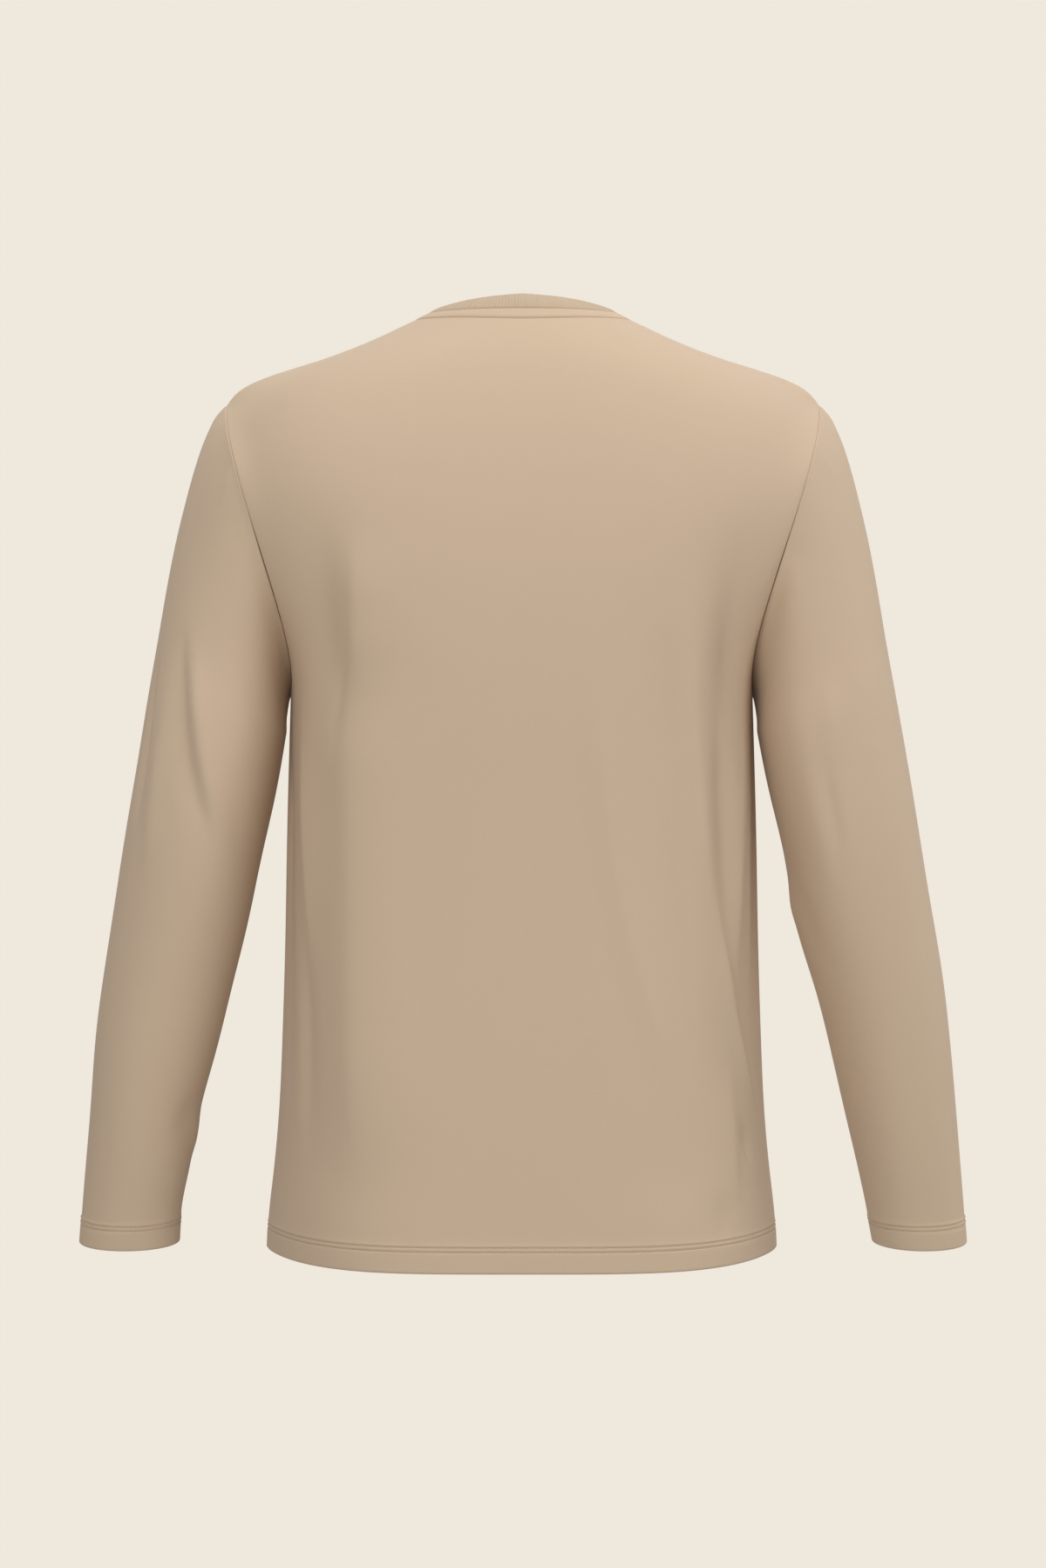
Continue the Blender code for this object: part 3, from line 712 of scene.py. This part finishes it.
# The net: columns in half a sleeve, and rows down its cap and down the arm below the cap
HALF_COLUMNS = 60
FINE_CAP = 44
FINE_ARM = 96

# How often a cap is drawn smooth round the arm, faded in and out over this share of its length
CAP_RELAX_PASSES = 28
CAP_RELAX_FADE = 1 / 3

# Rings, wrist to armpit: a centre, half-widths, and in degrees how far the outer edge lifts and the
# back edge drops. The two sleeves differ in how far out the centres lie and in the widths.
SleeveRing = namedtuple(
    "SleeveRing", "height left_out left_half right_out right_half deep half_depth lift drop"
)
SLEEVE_RINGS = (
    SleeveRing(-0.7008, 0.2993, 0.0377, 0.3016, 0.0355, -0.014, 0.0310, 0.0, 6.0),
    SleeveRing(-0.670, 0.2967, 0.0376, 0.2974, 0.0370, -0.012, 0.0340, 3.0, 6.0),
    SleeveRing(-0.640, 0.2923, 0.0392, 0.2929, 0.0388, -0.010, 0.0380, 6.0, 5.0),
    SleeveRing(-0.600, 0.2868, 0.0410, 0.2864, 0.0417, -0.007, 0.0425, 8.0, 4.0),
    SleeveRing(-0.550, 0.2780, 0.0456, 0.2781, 0.0450, -0.003, 0.0465, 9.0, 3.0),
    SleeveRing(-0.500, 0.2681, 0.0484, 0.2684, 0.0482, 0.001, 0.0500, 9.0, 2.0),
    SleeveRing(-0.450, 0.2578, 0.0505, 0.2565, 0.0512, 0.004, 0.0540, 9.5, 0.0),
    SleeveRing(-0.400, 0.2485, 0.0518, 0.2480, 0.0513, 0.006, 0.0570, 10.0, 0.0),
    SleeveRing(-0.350, 0.2387, 0.0531, 0.2381, 0.0530, 0.006, 0.0595, 10.0, 0.0),
    SleeveRing(-0.305, 0.2312, 0.0534, 0.2297, 0.0536, 0.005, 0.0610, 10.0, 0.0),
)

# The way out from the body along X
OUT_SIDE = {"left": 1, "right": -1}

# Each lengthwise line of a cap leaves the armhole along these handles and joins the top ring down
# the arm. Turn is 0 at the shoulder tip, 90 at the back or front and 180 under the arm.
CapHandle = namedtuple("CapHandle", "turn out deep up join")
CAP = (
    CapHandle(0, 0.037, 0.000, -0.031, 0.075),
    CapHandle(40, 0.030, -0.018, -0.032, 0.076),
    CapHandle(80, 0.026, -0.013, -0.020, 0.060),
    CapHandle(105, 0.018, 0.006, -0.012, 0.048),
    CapHandle(135, 0.010, 0.013, -0.010, 0.030),
    CapHandle(160, 0.007, 0.006, -0.010, 0.016),
    CapHandle(180, 0.004, 0.000, -0.006, 0.010),
)

# The cloth sinks beside the armhole, most at this distance from it, and deepest where the table
# says. Turn is as for the handles.
CAP_SINK_DEEPEST = 0.010
CapSink = namedtuple("CapSink", "turn left right")
CAP_SINK = (
    CapSink(0, 0.0, 0.0),
    CapSink(45, 0.0004, 0.0004),
    CapSink(90, 0.0012, 0.0012),
    CapSink(130, 0.0020, 0.0022),
    CapSink(155, 0.0010, 0.0010),
    CapSink(180, 0.0, 0.0),
)

# Places are degrees round the sleeve: 0 outside, 90 behind, 180 inside and 270 in front. A
# crease's left is the way that they grow, and so is its bow.
LEFT_SLEEVE_CREASES = (
    # The full head of the sleeve, behind and in front
    Crease(60, -0.100, 80, -0.240, 0, 0.045, 0.045, 0.015, 0.0015, 0.45, 0.60),
    Crease(290, -0.075, 268, -0.240, 0, 0.045, 0.045, 0.015, 0.0045, 0.45, 0.60),
    # Behind: a long slanting crease and one at the outer edge, each with a ridge beside it, two
    # puckers by the seam, and a bulge and a dent above the wrist
    Crease(54, -0.225, 110, -0.400, -9, 0.006, 0.022, 0.001, -0.0036, 0.40, 0.35),
    Crease(66, -0.235, 124, -0.415, -7, 0.020, 0.008, 0.002, 0.0038, 0.40, 0.35),
    Crease(24, -0.240, 40, -0.400, 0, 0.005, 0.014, 0.001, -0.0036, 0.40, 0.45),
    Crease(44, -0.280, 60, -0.430, 0, 0.016, 0.012, 0.003, 0.0024, 0.45, 0.45),
    Crease(52, -0.105, 60, -0.150, 0, 0.006, 0.008, 0.001, 0.0012, 0.50, 0.50),
    Crease(80, -0.125, 72, -0.180, 0, 0.008, 0.007, 0.002, -0.0010, 0.50, 0.50),
    Crease(172, -0.590, 176, -0.640, 0, 0.014, 0.014, 0.004, 0.0022, 0.50, 0.40),
    Crease(150, -0.580, 140, -0.625, 0, 0.016, 0.014, 0.005, -0.0015, 0.50, 0.50),
    # Its inner side is the fuller one, from the armhole down past the elbow
    Crease(108, -0.240, 108, -0.520, 0, 0.046, 0.046, 0.014, 0.0055, 0.35, 0.45),
    # In front
    Crease(250, -0.230, 300, -0.400, 6, 0.016, 0.009, 0.002, -0.0030, 0.40, 0.40),
    Crease(262, -0.300, 236, -0.460, 0, 0.018, 0.014, 0.003, 0.0022, 0.40, 0.45),
)
RIGHT_SLEEVE_CREASES = (
    # The full head of the sleeve, behind and in front
    Crease(64, -0.100, 84, -0.240, 0, 0.045, 0.045, 0.015, 0.0010, 0.45, 0.60),
    Crease(286, -0.080, 264, -0.230, 0, 0.045, 0.045, 0.015, 0.0045, 0.45, 0.60),
    # Behind: a soft crease and a ridge beside it, a dimple and a pucker by the seam, and a bulge
    # and a dent inside the elbow
    Crease(104, -0.320, 108, -0.430, 0, 0.012, 0.008, 0.002, -0.0020, 0.40, 0.50),
    Crease(90, -0.270, 96, -0.345, 0, 0.012, 0.014, 0.003, 0.0018, 0.45, 0.45),
    Crease(98, -0.163, 92, -0.200, 0, 0.024, 0.024, 0.006, -0.0012, 0.50, 0.50),
    Crease(48, -0.094, 38, -0.130, 0, 0.006, 0.005, 0.001, 0.0016, 0.50, 0.50),
    Crease(178, -0.420, 174, -0.470, 0, 0.012, 0.012, 0.003, 0.0018, 0.50, 0.50),
    Crease(160, -0.400, 140, -0.500, 0, 0.018, 0.016, 0.005, -0.0015, 0.50, 0.50),
    # Its inner side is the fuller one, from the armhole down past the elbow
    Crease(122, -0.240, 118, -0.500, 0, 0.040, 0.036, 0.012, 0.0050, 0.35, 0.45),
    # In front
    Crease(244, -0.220, 292, -0.380, 6, 0.018, 0.008, 0.002, -0.0028, 0.40, 0.40),
    Crease(288, -0.300, 258, -0.470, 0, 0.016, 0.016, 0.004, 0.0020, 0.40, 0.45),
)


def armhole(out_side):
    """A closed armhole seam from the shoulder tip down the back and up the front."""
    halves = []
    for side in (1, -1):
        half = evenly(armhole_line(side), HALF_COLUMNS)
        half[:, 0] = out_side * half[:, 0] + sway_at(half[:, 2]) + out_side * ARMHOLE_GAP
        halves.append(half)
    back_half, front_half = halves
    return np.concatenate([back_half[::-1], front_half[1:-1]])


def sleeve_ring(hand, height, turns):
    """One ring of a sleeve. Turns are radians from its outer edge towards its back."""
    fields = (hand + "_out", hand + "_half", "deep", "half_depth", "lift", "drop")
    out, half_width, deep, half_depth, lift, drop = (
        float(read(SLEEVE_RINGS, field, height)) for field in fields
    )
    out_side = OUT_SIDE[hand]
    lift = math.radians(lift)
    drop = math.radians(drop)
    centre = np.array([out_side * out, deep, height])
    outward_way = half_width * np.array([out_side * math.cos(lift), 0.0, math.sin(lift)])
    backward_way = half_depth * np.array([0.0, math.cos(drop), -math.sin(drop)])
    return centre + np.cos(turns)[:, None] * outward_way + np.sin(turns)[:, None] * backward_way


def sleeve_points(hand):
    """Rows from the armhole to the wrist, columns round the sleeve from its outer edge."""
    out_side = OUT_SIDE[hand]
    seam = armhole(out_side)
    count = len(seam)
    turns = np.linspace(0.0, 2 * math.pi, count, endpoint=False)
    lowest = SLEEVE_RINGS[0].height
    highest = SLEEVE_RINGS[-1].height
    heights = np.concatenate([
        np.linspace(highest, lowest + FROM_HEM[-1], FINE_ARM + 1),
        lowest + np.array(FROM_HEM[-2::-1]),
    ])
    rings = np.array([sleeve_ring(hand, height, turns) for height in heights])
    down = unit(rings[1] - rings[0])
    folded = np.minimum(np.degrees(turns), 360 - np.degrees(turns))
    backward = np.where(turns > math.pi, -1.0, 1.0)
    start = np.stack([
        out_side * read(CAP, "out", folded),
        backward * read(CAP, "deep", folded),
        read(CAP, "up", folded),
    ], axis=-1)
    join = read(CAP, "join", folded)
    lines = []
    for i in range(count):
        line = bezier(seam[i], start[i], -join[i] * down[i], rings[0][i], CURVE_STEPS)
        rest = np.linspace(FROM_SEAM[-1], travelled(line)[-1], FINE_CAP + 1)[1:]
        lines.append(placed(line, np.concatenate([FROM_SEAM, rest])))
    cap = np.swapaxes(np.array(lines), 0, 1)
    share = np.clip((np.arange(len(cap)) - len(FROM_SEAM)) / FINE_CAP, 0.0, 1.0)
    soft = (ease(share / CAP_RELAX_FADE) * ease((1 - share) / CAP_RELAX_FADE))[:, None, None]
    for _ in range(CAP_RELAX_PASSES):
        beside = (np.roll(cap, 1, axis=1) + np.roll(cap, -1, axis=1)) / 2
        cap = cap + soft * (beside - cap) / 2
    return np.concatenate([cap[:-1], rings])


def cap_sink(from_armhole, columns, hand):
    """How deep the cloth sinks this far from the armhole seam, on the left or the right sleeve."""
    turns = np.arange(columns) * 360 / columns
    deepest = read(CAP_SINK, hand, np.minimum(turns, 360 - turns))
    share = from_armhole / CAP_SINK_DEEPEST
    return deepest * share * np.exp(1 - share)


def add_sleeve(hand, creases):
    """The left or the right sleeve, and its outer points."""
    base = sleeve_points(hand)
    columns = base.shape[1]
    normals = outward(base, -OUT_SIDE[hand], True)
    from_armhole = distances_along(base, 0)
    from_hem = from_armhole[-1] - from_armhole
    round_it = distances_along(np.concatenate([base, base[:, :1]], axis=1), 1)
    degrees = np.broadcast_to(np.arange(columns) * 360 / columns, base.shape[:2])
    fade = ease(from_armhole / CREASE_FADE) * ease(from_hem / CREASE_FADE)
    moved = crease_depths(creases, degrees, round_it[:, :-1], base[..., 2]) * fade
    moved -= seam_roll(from_armhole, seam_depth(base[0, :, 2])) + cap_sink(from_armhole, columns, hand)
    moved += hem_relief(from_hem)
    outer = base + normals * moved[..., None]
    inner = outer - normals * hem_wall(from_hem)[..., None]
    length = np.concatenate([from_hem, from_hem[:, :1]], axis=1)
    cloth = np.stack([round_it, length], axis=-1)
    return add_wall(hand + "_sleeve", outer, inner, cloth, True, jersey), outer


left_sleeve, left_outer = add_sleeve("left", LEFT_SLEEVE_CREASES)
right_sleeve, right_outer = add_sleeve("right", RIGHT_SLEEVE_CREASES)
for piece, cad_node in ((left_sleeve, "sleeve_left"), (right_sleeve, "sleeve_right")):
    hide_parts(cad_node)
    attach(piece, "root")


# ---------------------------------------------------------------------------------------------
# The neck band, a strip of 1x1 rib folded double, joined into a loop and sewn to the neck edge.
# It stands on the seam and leans in, because the strip is shorter than the neck it is sewn to.
# ---------------------------------------------------------------------------------------------
BAND_WIDTH = 0.0160
BAND_THICKNESS = 0.0021

# How far its faces bulge, and its gap above the neck seam
BAND_CROWN = 0.0012
BAND_GAP = 0.0003

# The columns of its net, and how often the neck seam is drawn smooth under it
BAND_COLUMNS = 1080
BAND_SMOOTHING = 24

# The ribs round it, how far they stand out, and how far above the seam they are full
BAND_RIBS = 216
RIB_RELIEF = 0.00022
RIB_START = 0.0020

# The rows of its net: shares of its width up a face, and degrees round the fold at its top
BAND_FACE = (0.0, 0.02, 0.04, 0.07, 0.12, 0.20, 0.30, 0.45, 0.60, 0.75, 0.90, 1.0)
BAND_FOLD = (22, 45, 65, 82)

# How far it leans in from upright, in degrees. Turn is 0 at the back, 90 on the shoulders and 180
# in front.
BandLean = namedtuple("BandLean", "turn lean")
BAND_LEAN = (
    BandLean(0, 42),
    BandLean(90, 68),
    BandLean(180, 28),
)


def closed_row(back_row, front_row):
    """A row of the back and the same row of the front as one closed line from the wearer's left."""
    return np.concatenate([back_row[::-1], front_row])


def even_loop(line, count):
    """A closed line of points in equal steps."""
    loop = np.concatenate([line, line[:1]])
    return placed(loop, np.linspace(0.0, travelled(loop)[-1], count, endpoint=False))


def smoothed(line, passes):
    """A closed line with its small corners rounded off."""
    for _ in range(passes):
        line = line / 2 + (np.roll(line, 1, axis=0) + np.roll(line, -1, axis=0)) / 4
    return line


def band_ways():
    """The neck seam in even steps, and at each one the ways up the band and out of it."""
    seam = smoothed(even_loop(closed_row(back_neck, front_neck), BAND_COLUMNS), BAND_SMOOTHING)
    along = unit(np.roll(seam, -1, axis=0) - np.roll(seam, 1, axis=0))
    inward = unit(np.stack([-along[:, 1], along[:, 0], np.zeros(len(seam))], axis=-1))
    turn = np.degrees(np.arccos(np.clip(-inward[:, 1], -1.0, 1.0)))
    lean = np.radians(read(BAND_LEAN, "lean", turn))[:, None]
    rise = np.cos(lean) * np.array([0.0, 0.0, 1.0]) + np.sin(lean) * inward
    rise = unit(rise - along * np.sum(rise * along, axis=1, keepdims=True))
    return seam, rise, np.cross(along, rise)


def band_rows():
    """How far up the band, out of it and round its fold each row is. It rolls under at the seam."""
    rows = []
    for share in BAND_FACE:
        up = BAND_WIDTH * share
        rows.append((up, BAND_CROWN * math.sin(math.pi * share) - seam_roll(up, NECK_ROLL), 0.0))
    return rows + [(BAND_WIDTH, 0.0, turn) for turn in BAND_FOLD]


def band_face(ways, rows, side):
    """One face of the folded band, from the seam up into the fold. Side is 1 outside and -1 inside."""
    seam, rise, out_way = ways
    half = BAND_THICKNESS / 2
    ribs = np.cos(np.arange(len(seam)) / len(seam) * BAND_RIBS * 2 * math.pi)[:, None]
    net = []
    for up, out, turn in rows:
        turned = math.radians(turn)
        radius = half + RIB_RELIEF * ribs * ease(up / RIB_START)
        height = BAND_GAP + up + radius * math.sin(turned)
        net.append(seam + rise * height + out_way * (out - half + side * radius * math.cos(turned)))
    return np.array(net)


ways = band_ways()
rows = band_rows()
band_outer = band_face(ways, rows, 1)
band_inner = band_face(ways, rows, -1)
band_length = distances_along(np.concatenate([band_outer, band_outer[:, :1]], axis=1), 1)
up_the_band = np.array([up for up, _, _ in rows])[:, None]
band_cloth = np.stack([band_length, np.broadcast_to(up_the_band, band_length.shape)], axis=-1)
RIB_WALE = 0.0010
RIB_DARK = (0.478, 0.364, 0.257)
RIB_LIGHT = (0.568, 0.443, 0.318)
rib_knit = cloth_material("beige_rib", RIB_DARK, RIB_LIGHT, RIB_WALE)
band = add_wall("neck_band", band_outer, band_inner, band_cloth, True, rib_knit)
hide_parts("neck_rib")
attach(band, "root")


# ---------------------------------------------------------------------------------------------
# The sewing thread. Twin needles close the hem and the cuffs with two lines of stitches, and one
# line runs round the neck, just below the band, to hold its seam down.
# ---------------------------------------------------------------------------------------------
# From one stitch to the next, and a stitch's own length, radius and height over the cloth
STITCH_PITCH = 0.0029
STITCH_LENGTH = 0.0024
STITCH_RADIUS = 0.00022
STITCH_LIFT = 0.00008
STITCH_SIDES = 6

# Rings along a stitch: place is a share of its length, thickness and lift are shares of its radius
Ring = namedtuple("Ring", "place thickness lift")
STITCH_RINGS = (
    Ring(-0.50, 0.30, -0.9),
    Ring(-0.34, 0.85, -0.1),
    Ring(0.0, 1.0, 0.2),
    Ring(0.34, 0.85, -0.1),
    Ring(0.50, 0.30, -0.9),
)

# The thread's two shades, and the scale of its twist
THREAD_DARK = (0.430, 0.315, 0.215)
THREAD_LIGHT = (0.560, 0.420, 0.295)
THREAD_TWIST = 900.0


def panel_line(row):
    """A row of both panels as one closed line, and the normals along it."""
    back_normals = outward(back_outer, -1, False)[row]
    front_normals = outward(front_outer, 1, False)[row]
    return closed_row(back_outer[row], front_outer[row]), closed_row(back_normals, front_normals)


def stitch_line(points, normals):
    """Stitches along a closed line on the cloth, as points and faces counted from 0."""
    loop = np.concatenate([points, points[:1]])
    along = travelled(loop)
    count = int(along[-1] // STITCH_PITCH)
    places = (np.arange(count) + 0.5) / count * along[-1]
    ways = unit(np.diff(loop, axis=0))
    k = np.clip(np.searchsorted(along, places) - 1, 0, len(ways) - 1)
    centres = placed(loop, places)
    tangents = ways[k]
    up = unit(normals[k] - tangents * np.sum(normals[k] * tangents, axis=1, keepdims=True))
    sideways = np.cross(tangents, up)
    turns = np.arange(STITCH_SIDES) / STITCH_SIDES * 2 * math.pi
    vertices = []
    for ring in STITCH_RINGS:
        middle = (centres + tangents * ring.place * STITCH_LENGTH
                  + up * (STITCH_LIFT + ring.lift * STITCH_RADIUS))
        radius = ring.thickness * STITCH_RADIUS
        vertices.append(middle[:, None] + sideways[:, None] * radius * np.cos(turns)[:, None]
                        + up[:, None] * radius * np.sin(turns)[:, None])
    vertices = np.stack(vertices, axis=1).reshape(-1, 3)
    ring_at = np.arange(len(STITCH_RINGS) * STITCH_SIDES).reshape(len(STITCH_RINGS), STITCH_SIDES)
    turned = np.roll(ring_at, -1, axis=1)
    one = np.stack([ring_at[:-1], turned[:-1], turned[1:], ring_at[1:]], -1).reshape(-1, 4).tolist()
    one += [ring_at[0, ::-1].tolist(), ring_at[-1].tolist()]
    size = ring_at.size
    faces = [[corner + size * i for corner in face] for i in range(count) for face in one]
    return vertices, faces


def add_thread(name, lines, material):
    """One piece with the stitches along these lines."""
    vertices = []
    faces = []
    for points, normals in lines:
        start = sum(len(part) for part in vertices)
        line_vertices, line_faces = stitch_line(points, normals)
        vertices.append(line_vertices)
        faces += [[corner + start for corner in face] for face in line_faces]
    mesh = bpy.data.meshes.new(name)
    mesh.from_pydata(np.concatenate(vertices).tolist(), [], faces)
    mesh.shade_smooth()
    mesh.materials.append(material)
    piece = bpy.data.objects.new(name, mesh)
    bpy.context.scene.collection.objects.link(piece)
    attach(piece, "root")


def thread_material():
    """Spun polyester sewing thread, dyed to match, a little uneven in shade from its twist."""
    material = bpy.data.materials.new("beige_thread")
    material.use_nodes = True
    tree = material.node_tree
    place = node(tree, "ShaderNodeTexCoord", {}).outputs["Object"]
    waves = {"Vector": place, "Scale": THREAD_TWIST, "Distortion": 1.5}
    twist = node(tree, "ShaderNodeTexWave", waves).outputs["Fac"]
    shader = tree.nodes["Principled BSDF"]
    tree.links.new(mixed_colour(tree, twist, THREAD_DARK, THREAD_LIGHT), shader.inputs["Base Color"])
    shader.inputs["Roughness"].default_value = 0.7
    return material


thread = thread_material()
hem_rows = [FROM_HEM.index(height) for height in NEEDLE_LINES_ABOVE_HEM]
add_thread("hem_stitches", [panel_line(row) for row in hem_rows], thread)
for hand, outer in (("left", left_outer), ("right", right_outer)):
    normals = outward(outer, -OUT_SIDE[hand], True)
    cuff_lines = [(outer[-1 - row], normals[-1 - row]) for row in hem_rows]
    add_thread(hand + "_cuff_stitches", cuff_lines, thread)
add_thread("neck_stitches", [panel_line(-1 - FROM_NECK.index(NECK_LINE))], thread)


# ---------------------------------------------------------------------------------------------
# The studio: a pale floor well below the shirt, an even pale surround, large soft lights and the
# camera square behind the shirt.
# ---------------------------------------------------------------------------------------------
FLOOR_HEIGHT = -1.30
FLOOR_SIZE = 40.0

# What the camera sees all round, and the warmer, dimmer light that the shirt gets from there
PALE = (0.863, 0.811, 0.723, 1.0)
SURROUND_LIGHT = (1.0, 0.97, 0.93, 1.0)
SURROUND_STRENGTH = 0.31
FLOOR_STRENGTH = 0.38

# The camera is level and looks along -Y, towards the back of the shirt
CAMERA_PLACE = (0.0, 2.3, -0.353)
CAMERA_TURN = (math.pi / 2, 0.0, math.pi)
CAMERA_LENS = 69.82
CAMERA_SENSOR = 36.0

# Square lamps, all aimed at the middle of the shirt
LIGHTS_AIM = (0.0, 0.0, -0.35)
Light = namedtuple("Light", "name place size power")
LIGHTS = (
    Light("top", (-0.08, 0.23, 2.44), 1.6, 44.0),
    Light("right", (-2.11, 1.77, 0.14), 1.6, 21.0),
    Light("left", (0.94, 2.59, 0.14), 1.6, 29.0),
    Light("side", (-2.59, -0.94, 0.14), 1.6, 19.0),
    Light("front", (0.6, -2.6, 1.2), 2.2, 24.0),
)


def seen_pale(tree, output_kind, shader_kind, strength):
    """Shows one even pale colour to the camera and gives its own light to everything else."""
    tree.nodes.clear()
    plain = node(tree, shader_kind, {"Color": PALE, "Strength": 1.0}).outputs[0]
    dim = node(tree, shader_kind, {"Color": SURROUND_LIGHT, "Strength": strength}).outputs[0]
    camera_ray = node(tree, "ShaderNodeLightPath", {}).outputs["Is Camera Ray"]
    mix = node(tree, "ShaderNodeMixShader", {0: camera_ray, 1: dim, 2: plain}).outputs[0]
    node(tree, output_kind, {"Surface": mix})


scene = bpy.context.scene
scene.view_settings.view_transform = "Standard"
world = bpy.data.worlds.new("surround")
world.use_nodes = True
seen_pale(world.node_tree, "ShaderNodeOutputWorld", "ShaderNodeBackground", SURROUND_STRENGTH)
scene.world = world

floor_finish = bpy.data.materials.new("floor")
floor_finish.use_nodes = True
seen_pale(floor_finish.node_tree, "ShaderNodeOutputMaterial", "ShaderNodeEmission", FLOOR_STRENGTH)
floor_mesh = bpy.data.meshes.new("floor")
half = FLOOR_SIZE / 2
corners = [(-half, -half, 0), (half, -half, 0), (half, half, 0), (-half, half, 0)]
floor_mesh.from_pydata(corners, [], [(0, 1, 2, 3)])
floor_mesh.materials.append(floor_finish)
floor = bpy.data.objects.new("floor", floor_mesh)
floor.location.z = FLOOR_HEIGHT
scene.collection.objects.link(floor)

for light in LIGHTS:
    lamp = bpy.data.lights.new(light.name, "AREA")
    lamp.shape = "SQUARE"
    lamp.size = light.size
    lamp.energy = light.power
    lamp_object = bpy.data.objects.new(light.name, lamp)
    lamp_object.location = light.place
    way = Vector(LIGHTS_AIM) - Vector(light.place)
    lamp_object.rotation_euler = way.to_track_quat("-Z", "Y").to_euler()
    scene.collection.objects.link(lamp_object)

camera = bpy.data.cameras.new("camera")
camera.lens = CAMERA_LENS
camera.sensor_width = CAMERA_SENSOR
camera_object = bpy.data.objects.new("camera", camera)
camera_object.location = CAMERA_PLACE
camera_object.rotation_euler = CAMERA_TURN
scene.collection.objects.link(camera_object)
scene.camera = camera_object
